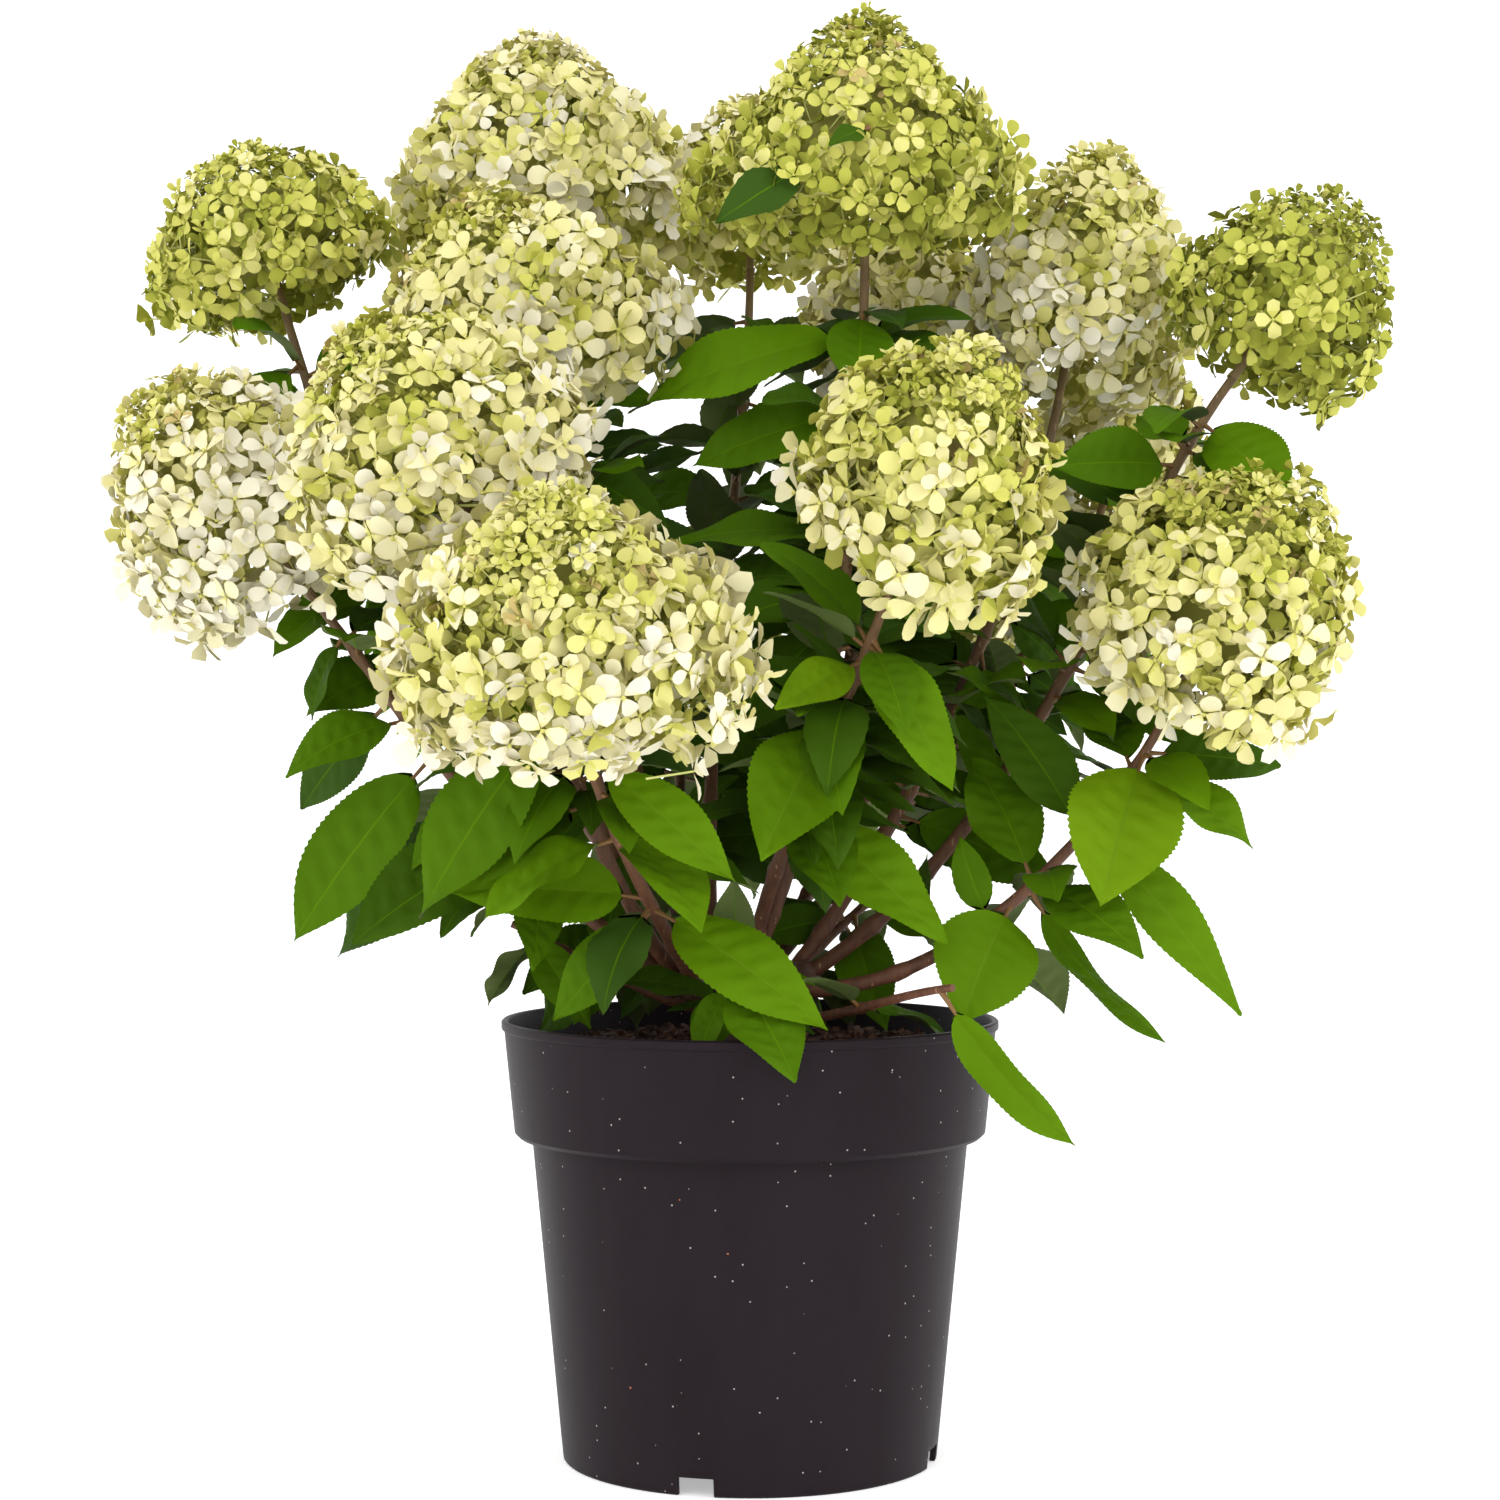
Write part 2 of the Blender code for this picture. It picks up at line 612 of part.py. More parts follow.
def push_from_head(limb, shoot):
    centre = Vector(shoot.centre)
    room = 0.5 * max(shoot.width, shoot.length) + CANE_CLEAR + CANE_RADIUS
    nearest = min(limb.points[:-HEAD_SAMPLES], key=lambda point: (point - centre).length)
    away = nearest - centre
    if away.length < room:
        shift(limb, limb.points.index(nearest), away.normalized() * (room - away.length) * APART_STEP)


def push_from_cane(limb, other, need):
    start = limb.samples // FOOT_PART
    pairs = [
        ((p - q).length, i, j)
        for i, p in enumerate(limb.points[start::2])
        for j, q in enumerate(other.points[start::2])
    ]
    distance, i, j = min(pairs)
    if distance < need:
        i, j = start + 2 * i, start + 2 * j
        away = (limb.points[i] - other.points[j]).normalized() * (need - distance) * APART_STEP
        shift(limb, i, away)
        shift(other, j, -away)


def shift(limb, index, move):
    """Moves the inner handles so that the limb bows at that sample."""
    t = index / limb.samples
    near, far = (1, 2) if t < 0.5 else (2, 1)
    limb.handles[near] += move * BOW_SHARES[0]
    limb.handles[far] += move * BOW_SHARES[1]


def clear_from(limb, others, wood):
    """How far along a limb it stays near the stool's wood or another limb: its stub, fused in the stool."""
    last = STUB_LENGTH
    wood_room = ARM_RADIUS + CANE_RADIUS + CANE_CLEAR
    limb_room = 2 * CANE_RADIUS + CANE_CLEAR / 2
    for i, point in enumerate(limb.points):
        reach = limb.lengths[i]
        if reach > STUB_LIMIT:
            break
        near_wood = min((point - knot).length for knot in wood) < wood_room
        near_limb = any(
            min((point - other_point).length for other_point in other.points) < limb_room
            for other in others
            if other is not limb
        )
        if near_wood or near_limb:
            last = max(last, reach + CANE_CLEAR)
    return last


def make_stool(arms, limbs, parts, operands):
    """The short trunk with its arms, their knobs and the stub of each limb, fused into one."""
    foot = Vector((*STOOL_PLACE, COMPOST_TOP + COMPOST_RISE + GAP))
    up = Vector((0, 0, TRUNK_HEIGHT))
    bm = bmesh.new()
    bmesh.ops.create_cone(
        bm, cap_ends=True, segments=TRUNK_SIDES,
        radius1=TRUNK_FOOT_RADIUS, radius2=TRUNK_RADIUS, depth=TRUNK_HEIGHT,
    )
    bmesh.ops.translate(bm, vec=foot + up / 2, verts=bm.verts)
    stool = object_of(bm, "stool", parts)
    for name, arm in arms.items():
        tube(f"arm_{name}", (arm.at(0), arm.at(arm.length)), STEM_SPANS, operands)
        bm = bmesh.new()
        bmesh.ops.create_icosphere(bm, subdivisions=1, radius=KNOB_RADIUS)
        bmesh.ops.translate(bm, vec=arm.points[-1], verts=bm.verts)
        object_of(bm, f"knob_{name}", operands)
    wood = [point for arm in arms.values() for point in arm.points[::4]]
    for number, limb in enumerate(limbs, 1):
        limb.stub = clear_from(limb, limbs, wood)
        tube(f"stub_{number}", (limb.at(0), limb.at(limb.stub)), STUB_SPANS, operands, sides=4)
    fuse(stool, operands)
    dress(stool, "stool")
    return stool


# Flower heads
def head_point(shoot, direction, share, number):
    """Where a ray from inside the head leaves it: a dome that narrows upwards, with gentle lumps."""
    direction = direction.normalized()
    way = Vector((0, 0, 1)).rotation_difference(head_axis(shoot)) @ direction
    along = 0.5 + 0.5 * direction.z
    level = math.sqrt(max(0.0, 1 - direction.z**2))
    belly = 1 + shoot.taper * (HEAD_WIDEST - along)
    lump = 1 + HEAD_LUMP * noise.noise(direction * LUMP_SCALE + Vector((number, 0, 0)))
    for bulge in BULGES.get(number, ()):
        apart = math.degrees(way.angle(Vector(bulge.way))) / bulge.spread
        lump += bulge.amount * math.exp(-apart * apart)
    flat = HEAD_UNDERSIDE if direction.z < 0 else 1.0
    radius = shoot.width / 2 * level * belly * share * lump
    height = shoot.length / 2 * direction.z * flat * share * lump
    side = Vector((direction.x, direction.y, 0))
    side = side.normalized() * radius if side.length > 0 else side
    return Vector((side.x, side.y, height))


def make_head(number, shoot, cane, parts, operands):
    """A dense panicle: a core whose faces are drawn out into florets, on a short stalk."""
    name = f"head_{number:02d}"
    draw = random.Random(number)
    bm = bmesh.new()
    bmesh.ops.create_cube(bm, size=2)
    bmesh.ops.subdivide_edges(bm, edges=bm.edges, cuts=HEAD_CUTS, use_grid_fill=True)
    for vert in bm.verts:
        vert.co = head_point(shoot, vert.co, CORE_SHARE, number)
    florets = [face for face in bm.faces if face.normal.z > FLORET_LOWEST and draw.random() < FLORET_COVER]
    drawn = bmesh.ops.extrude_discrete_faces(bm, faces=florets)["faces"]
    for face in drawn:
        centre = face.calc_center_median()
        rise = centre * (1 / CORE_SHARE - 1) * draw.uniform(*FLORET_RISES)
        twist = Matrix.Rotation(draw.uniform(-FLORET_TWIST, FLORET_TWIST), 3, face.normal)
        share = FLORET_SHARE * draw.uniform(*FLORET_SPREAD)
        for vert in face.verts:
            vert.co = centre + rise + twist @ (vert.co - centre) * share
    axis = head_axis(shoot)
    lean = Vector((0, 0, 1)).rotation_difference(axis).to_matrix().to_4x4()
    place = Matrix.Translation(shoot.centre) @ lean
    bmesh.ops.transform(bm, matrix=place, verts=bm.verts)
    bmesh.ops.triangulate(bm, faces=bm.faces)
    head = object_of(bm, name, parts)
    inside = (cane.points[-1] + axis * PEDUNCLE_DEPTH, axis, CANE_TIP_RADIUS)
    tube(name + "_stalk", (cane.at(cane.length - PEDUNCLE_LENGTH), inside), STEM_SPANS, operands, sides=4)
    fuse(head, operands)
    dress(head, shoot.tone, smooth=False)
    return head


# Leaves
class Garden:
    """What has grown so far, as search trees, each with the node that owns it."""

    def __init__(self):
        self.trees = []

    def add(self, owner, obj):
        mesh = obj.data
        tree = BVHTree.FromPolygons(
            [vert.co for vert in mesh.vertices], [face.vertices for face in mesh.polygons]
        )
        self.trees.append((owner, tree, tree))

    def add_leaf(self, owner, whole, blade):
        self.trees.append((owner, whole, blade))

    def free(self, owner, whole, blade):
        """Whether a leaf touches nothing of another node, and its blade no leaf of its own node."""
        for other, other_whole, other_blade in self.trees:
            if other == owner and other_blade is other_whole:
                continue
            if other == owner and other_blade.overlap(blade):
                return False
            if other != owner and other_whole.overlap(whole):
                return False
        return True


def leaf_body(root, chord, up, length, wide, bend, extra=0.0, first=0.0):
    """A closed leaf, folded on its midrib and bent down along its length, from a share of it to its tip."""
    side = chord.cross(up).normalized()
    up = side.cross(chord)
    bm = bmesh.new()
    rings = []
    for share, width in zip(LEAF_STATIONS, LEAF_HALF_WIDTHS):
        share = max(share, first)
        angle = bend * (0.5 - share)
        ahead = (math.sin(bend / 2) - math.sin(angle)) / bend
        above = (math.cos(angle) - math.cos(bend / 2)) / bend
        spot = root + length * (ahead * chord + above * up)
        normal = up * math.cos(angle) - chord * math.sin(angle)
        half = max(width * length * wide / 2, LEAF_ROOT_RADIUS) + extra
        thick = max(LEAF_THICK_SHARE * length / 2, LEAF_ROOT_RADIUS * (1 - share)) + extra
        if share == 1.0:
            rings.append([bm.verts.new(spot + chord * extra)])
            continue
        edge = normal * LEAF_FOLD * half * (width > 0)
        corners = (side * half + edge, normal * thick, -side * half + edge, -normal * thick)
        rings.append([bm.verts.new(spot + corner) for corner in corners])
    bm.faces.new(rings[0])
    for ring, following in zip(rings, rings[1:]):
        for i in range(4):
            quad = [ring[i], ring[(i + 1) % 4]]
            if len(following) == 1:
                bm.faces.new(quad + following)
            else:
                bm.faces.new(quad + [following[(i + 1) % 4], following[i]])
    bmesh.ops.recalc_face_normals(bm, faces=bm.faces)
    return bm


def blade_up(chord, facing):
    """The blade's upward normal: as near to the given facing as the midrib allows."""
    return (facing - chord * chord.dot(facing)).normalized()


def find_room(owner, sites, garden):
    """The first of the tried places for each numbered leaf where nothing is in its way."""
    grown = {}
    for number, root, chord, facing, length, wide, bend in sites:
        if number in grown:
            continue
        up = blade_up(chord, facing)
        whole_bm = leaf_body(root, chord, up, length, wide, bend, extra=LEAF_CLEAR)
        blade_bm = leaf_body(root, chord, up, length, wide, bend, extra=LEAF_CLEAR, first=BLADE_START)
        whole, blade = BVHTree.FromBMesh(whole_bm), BVHTree.FromBMesh(blade_bm)
        whole_bm.free()
        blade_bm.free()
        if garden.free(owner, whole, blade):
            garden.add_leaf(owner, whole, blade)
            grown[number] = (root, chord, up, length, wide, bend)
    return grown


def seen_leaves(limb, start, end, rows):
    """Each leaf that stands out from the front, with small changes to try where its place is taken."""
    for number, row in enumerate(rows):
        reach = min(max(row.share * limb.length, start + NODE_ROOM), end - NODE_ROOM)
        point, _, _ = limb.at(reach)
        for toward, swing, size in SEEN_TRIES:
            tip = math.radians(row.toward + toward)
            turn = math.radians(row.swing + swing)
            chord = Vector((math.cos(tip) * math.cos(turn), -math.sin(tip), math.cos(tip) * math.sin(turn)))
            facing = Quaternion(chord, math.radians(row.turn)) @ SEEN_FACING
            yield number, point, chord, facing, row.length * size, row.wide, math.radians(row.bend)


def ruled_leaves(limb, start, end, pairs, turn, longest, draw):
    """Opposite leaves, each pair square to the one below, with small changes to try for each leaf."""
    up = Vector((0, 0, 1))
    for level in range(pairs):
        place = (level + 0.5) / pairs
        point, along, _ = limb.at(start + (end - start) * place)
        side = along.cross(up).normalized() if abs(along.z) < 0.99 else Vector((1, 0, 0))
        face = side.cross(along)
        size = longest * (1 - TIP_SHRINK * place) * draw.uniform(*RULED_SIZES)
        for half in (0, 180):
            number = 2 * level + (half > 0)
            bend = math.radians(draw.uniform(*RULED_BENDS))
            droop = draw.uniform(*RULED_DROOPS)
            for swing, sink, scale in RULED_TRIES:
                angle = math.radians(turn + 90 * level + half + swing)
                out = side * math.cos(angle) + face * math.sin(angle)
                chord = (out + RULED_LEAN * along - (droop + sink) * up).normalized()
                yield number, point, chord, up + BLADE_OUT * out, size * scale, LEAF_WIDTH_SHARE, bend


def grow_masses(masses, garden, parts, operands):
    """The leafy stems, then the leaves seen from the front, then the ruled ones, fused stem by stem."""
    stems, leaves = {}, {}
    for key, (limb, start, end, _) in masses.items():
        stems[key] = tube(f"leaves_{key}", (limb.at(start), limb.at(end)), STEM_SPANS, parts, sides=4)
        garden.add(key, stems[key])
    for key, (limb, start, end, _) in masses.items():
        grown = find_room(key, seen_leaves(limb, start, end, SEEN.get(key, ())), garden)
        leaves[key] = list(grown.values())
    for number, (key, (limb, start, end, shoot)) in enumerate(masses.items()):
        draw = random.Random(100 + number)
        longest = LOW_LEAF_LENGTH if key.startswith("low") else LEAF_LENGTH
        sites = ruled_leaves(limb, start, end, shoot.pairs, shoot.turn, longest, draw)
        grown = find_room(key, sites, garden)
        leaves[key] += grown.values()
    for key, stem in stems.items():
        for number, leaf in enumerate(leaves[key]):
            object_of(leaf_body(*leaf), f"leaf_{key}_{number}", operands)
        fuse(stem, operands)
        dress(stem, "leaves")


def build():
    clear_scene()
    parts = new_collection(PLANT)
    operands = new_collection(HELPERS, hidden=True)
    garden = Garden()
    garden.add("pot", make_pot(parts, operands))
    garden.add("compost", make_compost(parts))
    arms = {name: arm_limb(arm) for name, arm in ARMS.items()}
    canes = [(shoot, cane_limb(shoot, arms)) for shoot in SHOOTS]
    keep_apart(canes)
    low_limbs = [low_limb(low) for low in LOW_SHOOTS]
    garden.add("stool", make_stool(arms, [cane for _, cane in canes] + low_limbs, parts, operands))
    masses = {}
    for number, (shoot, cane) in enumerate(canes, 1):
        head_start = cane.length - PEDUNCLE_LENGTH
        leafy_start = cane.stub + (head_start - cane.stub) * shoot.bare
        ends = (cane.at(cane.stub + GAP), cane.at(leafy_start))
        bough = tube(f"bough_{number:02d}", ends, BOUGH_SPANS, parts)
        dress(bough, "bough")
        garden.add(bough.name, bough)
        head = make_head(number, shoot, cane, parts, operands)
        garden.add(head.name, head)
        masses[f"{number:02d}"] = (cane, leafy_start + GAP, head_start - GAP, shoot)
    for number, (low, limb) in enumerate(zip(LOW_SHOOTS, low_limbs), 1):
        masses[f"low_{number}"] = (limb, limb.stub + GAP, limb.length, low)
    grow_masses(masses, garden, parts, operands)
    bpy.data.collections.remove(operands)


build()
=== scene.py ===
# Looks of the potted panicle hydrangea: pot, compost, stool, canes, leaves and flower heads.
# Metres, +Z up, front at -Y.
import json
import math
import random
from collections import namedtuple

import bpy
import numpy as np
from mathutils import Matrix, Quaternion, Vector, noise
from mathutils.bvhtree import BVHTree

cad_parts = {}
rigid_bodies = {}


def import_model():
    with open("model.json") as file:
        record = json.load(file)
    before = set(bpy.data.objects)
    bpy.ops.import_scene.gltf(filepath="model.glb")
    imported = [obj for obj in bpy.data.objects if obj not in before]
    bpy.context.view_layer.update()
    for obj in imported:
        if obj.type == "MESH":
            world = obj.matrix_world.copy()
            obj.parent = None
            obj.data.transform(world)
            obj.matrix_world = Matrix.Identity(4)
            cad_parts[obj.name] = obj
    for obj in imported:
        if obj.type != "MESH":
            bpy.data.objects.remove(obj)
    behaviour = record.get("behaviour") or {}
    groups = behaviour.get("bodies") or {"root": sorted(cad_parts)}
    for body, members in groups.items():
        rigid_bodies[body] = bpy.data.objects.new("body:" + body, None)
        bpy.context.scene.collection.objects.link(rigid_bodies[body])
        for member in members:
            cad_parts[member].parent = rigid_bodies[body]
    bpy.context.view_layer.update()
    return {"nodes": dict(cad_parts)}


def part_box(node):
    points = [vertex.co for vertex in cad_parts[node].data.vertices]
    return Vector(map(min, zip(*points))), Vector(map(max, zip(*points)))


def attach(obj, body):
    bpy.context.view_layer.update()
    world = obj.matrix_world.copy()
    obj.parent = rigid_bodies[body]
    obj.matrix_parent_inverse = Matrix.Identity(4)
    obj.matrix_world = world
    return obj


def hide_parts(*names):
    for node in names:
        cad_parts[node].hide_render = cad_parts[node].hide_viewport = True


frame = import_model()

cadNodes = frame["nodes"]
worldUp = Vector((0, 0, 1))
cameraPlace = Vector((0, -1.5, 0.3425))
gap = 0.0003
print("frame loaded:", len(cadNodes), "solids")


# Small tools
def activate(obj):
    for other in bpy.context.view_layer.objects:
        other.select_set(False)
    obj.select_set(True)
    bpy.context.view_layer.objects.active = obj


def applied(obj, kind, **values):
    activate(obj)
    modifier = obj.modifiers.new(kind.lower(), kind)
    for name, value in values.items():
        setattr(modifier, name, value)
    bpy.ops.object.modifier_apply(modifier=modifier.name)


def settle(obj):
    activate(obj)
    bpy.ops.object.transform_apply(location=True, rotation=True, scale=True)


def scatter(draw):
    return Vector((draw.gauss(0, 1), draw.gauss(0, 1), draw.gauss(0, 1)))


def handOver(piece, slotName, *nodeNames):
    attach(piece, "root")
    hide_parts(*nodeNames)
    return piece


def smoothstep(low, high, value):
    share = np.clip((value - low) / (high - low), 0.0, 1.0)
    return share * share * (3 - 2 * share)


# A heap of (points, triangles, slot of each triangle) as one such set
def joined(heap):
    starts = np.cumsum([0] + [len(points) for points, _, _ in heap[:-1]])
    points = np.concatenate([points for points, _, _ in heap])
    triangles = np.concatenate([faces + start for (_, faces, _), start in zip(heap, starts)])
    return points, triangles, np.concatenate([slots for _, _, slots in heap])


def heapMesh(name, heap, materials):
    points, triangles, slots = joined(heap)
    mesh = bpy.data.meshes.new(name)
    mesh.vertices.add(len(points))
    mesh.vertices.foreach_set("co", points.astype(np.float32).ravel())
    mesh.loops.add(3 * len(triangles))
    mesh.loops.foreach_set("vertex_index", triangles.astype(np.int32).ravel())
    mesh.polygons.add(len(triangles))
    mesh.polygons.foreach_set("loop_start", np.arange(0, 3 * len(triangles), 3, dtype=np.int32))
    mesh.polygons.foreach_set("material_index", slots.astype(np.int32))
    mesh.update(calc_edges=True)
    mesh.set_sharp_from_angle(angle=math.radians(60))
    for finish in materials:
        mesh.materials.append(finish)
    piece = bpy.data.objects.new(name, mesh)
    bpy.context.scene.collection.objects.link(piece)
    print("  ", name, len(triangles), "triangles")
    return piece


# Materials
def newGroup(name, inputs, outputs):
    group = bpy.data.node_groups.new(name, "ShaderNodeTree")
    for socketName, socketType, default in inputs:
        socket = group.interface.new_socket(socketName, in_out="INPUT", socket_type=socketType)
        socket.default_value = default
    for socketName, socketType in outputs:
        group.interface.new_socket(socketName, in_out="OUTPUT", socket_type=socketType)
    return group, group.nodes.new("NodeGroupInput"), group.nodes.new("NodeGroupOutput")


def addNode(tree, kind, links=(), **values):
    node = tree.nodes.new(kind)
    for name, value in values.items():
        setattr(node, name, value)
    for socket, source in links:
        if isinstance(source, bpy.types.NodeSocket):
            tree.links.new(source, node.inputs[socket])
        else:
            node.inputs[socket].default_value = source
    return node


# Soft mottling of two colours, stretched along Z where the grain runs up, and its height
def makeGrainGroup():
    group, into, out = newGroup(
        "grain",
        (("Place", "NodeSocketVector", (0, 0, 0)), ("Low", "NodeSocketColor", (0, 0, 0, 1)),
         ("High", "NodeSocketColor", (1, 1, 1, 1)), ("Scale", "NodeSocketFloat", 40.0),
         ("Contrast", "NodeSocketFloat", 1.0)),
        (("Color", "NodeSocketColor"), ("Height", "NodeSocketFloat")),
    )
    coarse = addNode(group, "ShaderNodeTexNoise", (
        ("Vector", into.outputs["Place"]), ("Scale", into.outputs["Scale"]),
        ("Detail", 6.0), ("Roughness", 0.62)))
    lift = addNode(group, "ShaderNodeMath", ((0, coarse.outputs["Fac"]), (1, 0.5)), operation="SUBTRACT")
    swing = addNode(group, "ShaderNodeMath", (
        (0, lift.outputs[0]), (1, into.outputs["Contrast"])), operation="MULTIPLY")
    share = addNode(group, "ShaderNodeMath", (
        (0, swing.outputs[0]), (1, 0.5)), operation="ADD", use_clamp=True)
    blend = addNode(group, "ShaderNodeMix", (
        (0, share.outputs[0]), (6, into.outputs["Low"]), (7, into.outputs["High"])), data_type="RGBA")
    group.links.new(blend.outputs[2], out.inputs["Color"])
    group.links.new(share.outputs[0], out.inputs["Height"])
    return group


# Small scattered dots laid over a colour, and their mask
def makeSpeckGroup():
    group, into, out = newGroup(
        "specks",
        (("Place", "NodeSocketVector", (0, 0, 0)), ("Under", "NodeSocketColor", (0, 0, 0, 1)),
         ("Speck", "NodeSocketColor", (1, 1, 1, 1)), ("Scale", "NodeSocketFloat", 100.0),
         ("Size", "NodeSocketFloat", 0.1), ("Share", "NodeSocketFloat", 0.3)),
        (("Color", "NodeSocketColor"), ("Mask", "NodeSocketFloat")),
    )
    cells = addNode(group, "ShaderNodeTexVoronoi", (
        ("Vector", into.outputs["Place"]), ("Scale", into.outputs["Scale"])))
    near = addNode(group, "ShaderNodeMath", (
        (0, cells.outputs["Distance"]), (1, into.outputs["Size"])), operation="LESS_THAN")
    pick = addNode(group, "ShaderNodeSeparateColor", (("Color", cells.outputs["Color"]),))
    kept = addNode(group, "ShaderNodeMath", (
        (0, pick.outputs[0]), (1, into.outputs["Share"])), operation="LESS_THAN")
    mask = addNode(group, "ShaderNodeMath", (
        (0, near.outputs[0]), (1, kept.outputs[0])), operation="MULTIPLY")
    blend = addNode(group, "ShaderNodeMix", (
        (0, mask.outputs[0]), (6, into.outputs["Under"]), (7, into.outputs["Speck"])), data_type="RGBA")
    group.links.new(blend.outputs[2], out.inputs["Color"])
    group.links.new(mask.outputs[0], out.inputs["Mask"])
    return group


grainGroup = makeGrainGroup()
speckGroup = makeSpeckGroup()


def newMaterial(name, colour=(0.5, 0.5, 0.5), roughness=0.5, **sockets):
    made = bpy.data.materials.new(name)
    made.use_nodes = True
    made.diffuse_color = (*colour, 1)
    shader = made.node_tree.nodes["Principled BSDF"]
    shader.inputs["Base Color"].default_value = (*colour, 1)
    shader.inputs["Roughness"].default_value = roughness
    for socket, value in sockets.items():
        shader.inputs[socket.replace("_", " ")].default_value = value
    return made, made.node_tree, shader


# Object coordinates, stretched
def placeNode(tree, stretch=(1, 1, 1)):
    coords = addNode(tree, "ShaderNodeTexCoord")
    mapping = addNode(tree, "ShaderNodeMapping", (("Vector", coords.outputs["Object"]), ("Scale", stretch)))
    return mapping.outputs["Vector"]


def useGroup(tree, group, links):
    return addNode(tree, "ShaderNodeGroup", links, node_tree=group)


def roughFrom(tree, shader, mask, low, high):
    spread = addNode(tree, "ShaderNodeMapRange", (("Value", mask), ("To Min", low), ("To Max", high)))
    tree.links.new(spread.outputs["Result"], shader.inputs["Roughness"])


def bumpFrom(tree, shader, height, distance, strength=1.0):
    bump = addNode(tree, "ShaderNodeBump", (
        ("Height", height), ("Distance", distance), ("Strength", strength)))
    tree.links.new(bump.outputs["Normal"], shader.inputs["Normal"])


potLook = dict(low=(0.0098, 0.0060, 0.0082, 1), high=(0.0170, 0.0108, 0.0144, 1), dust=(0.46, 0.42, 0.40, 1),
               rust=(0.42, 0.14, 0.07, 1), scale=26.0, dustScale=250.0, rustScale=90.0)


def makePotMaterial():
    made, tree, shader = newMaterial("potPlastic", (0.012, 0.008, 0.011), 0.42, Specular_IOR_Level=0.09)
    place = placeNode(tree)
    upright = placeNode(tree, (1, 1, 0.25))
    body = useGroup(tree, grainGroup, (
        ("Place", upright), ("Low", potLook["low"]), ("High", potLook["high"]), ("Scale", potLook["scale"]),
        ("Contrast", 1.5)))
    dust = useGroup(tree, speckGroup, (
        ("Place", place), ("Under", body.outputs["Color"]), ("Speck", potLook["dust"]),
        ("Scale", potLook["dustScale"]), ("Size", 0.095), ("Share", 0.22)))
    rust = useGroup(tree, speckGroup, (
        ("Place", place), ("Under", dust.outputs["Color"]), ("Speck", potLook["rust"]),
        ("Scale", potLook["rustScale"]), ("Size", 0.052), ("Share", 0.12)))
    tree.links.new(rust.outputs["Color"], shader.inputs["Base Color"])
    roughFrom(tree, shader, body.outputs["Height"], 0.38, 0.54)
    fine = addNode(tree, "ShaderNodeTexNoise", (("Vector", place), ("Scale", 900.0), ("Detail", 2.0)))
    bumpFrom(tree, shader, fine.outputs["Fac"], 0.0001, 0.35)
    return made


# Bark that changes from one pair of colours at a height to another higher up, with lenticels
def makeBarkMaterial(name, foot, top, speck, zLow, zHigh):
    made, tree, shader = newMaterial(name, foot[0][:3], 0.6)
    place = placeNode(tree)
    upright = placeNode(tree, (1, 1, 0.22))
    lower = useGroup(tree, grainGroup, (
        ("Place", upright), ("Low", foot[0]), ("High", foot[1]), ("Scale", 330.0), ("Contrast", 1.6)))
    upper = useGroup(tree, grainGroup, (
        ("Place", upright), ("Low", top[0]), ("High", top[1]), ("Scale", 210.0), ("Contrast", 1.3)))
    height = addNode(tree, "ShaderNodeSeparateXYZ", (("Vector", place),))
    climb = addNode(tree, "ShaderNodeMapRange", (
        ("Value", height.outputs["Z"]), ("From Min", zLow), ("From Max", zHigh)))
    blend = addNode(tree, "ShaderNodeMix", (
        (0, climb.outputs["Result"]), (6, lower.outputs["Color"]), (7, upper.outputs["Color"])),
        data_type="RGBA")
    dots = useGroup(tree, speckGroup, (
        ("Place", upright), ("Under", blend.outputs[2]), ("Speck", speck), ("Scale", 420.0),
        ("Size", 0.22), ("Share", 0.30)))
    tree.links.new(dots.outputs["Color"], shader.inputs["Base Color"])
    roughFrom(tree, shader, lower.outputs["Height"], 0.50, 0.72)
    bumpFrom(tree, shader, lower.outputs["Height"], 0.0003, 0.7)
    return made


def makeCompostMaterial(name, low, high, scale):
    made, tree, shader = newMaterial(name, low[:3], 0.95)
    place = placeNode(tree)
    body = useGroup(tree, grainGroup, (
        ("Place", place), ("Low", low), ("High", high), ("Scale", scale), ("Contrast", 2.2)))
    tree.links.new(body.outputs["Color"], shader.inputs["Base Color"])
    roughFrom(tree, shader, body.outputs["Height"], 0.80, 1.0)
    bumpFrom(tree, shader, body.outputs["Height"], 0.0012, 0.8)
    return made


potPlastic = makePotMaterial()
compostCrumb = makeCompostMaterial("compostCrumb", (0.020, 0.009, 0.006, 1), (0.105, 0.042, 0.024, 1), 240.0)
barkChip = makeCompostMaterial("barkChip", (0.055, 0.022, 0.013, 1), (0.200, 0.090, 0.050, 1), 300.0)
stoolBark = makeBarkMaterial(
    "stoolBark", foot=((0.030, 0.015, 0.010, 1), (0.130, 0.070, 0.042, 1)),
    top=((0.060, 0.026, 0.016, 1), (0.190, 0.085, 0.050, 1)), speck=(0.16, 0.10, 0.07, 1),
    zLow=0.20, zHigh=0.26)
caneBark = makeBarkMaterial(
    "caneBark", foot=((0.058, 0.020, 0.010, 1), (0.205, 0.080, 0.036, 1)),
    top=((0.085, 0.045, 0.016, 1), (0.230, 0.145, 0.048, 1)), speck=(0.32, 0.17, 0.09, 1),
    zLow=0.27, zHigh=0.50)

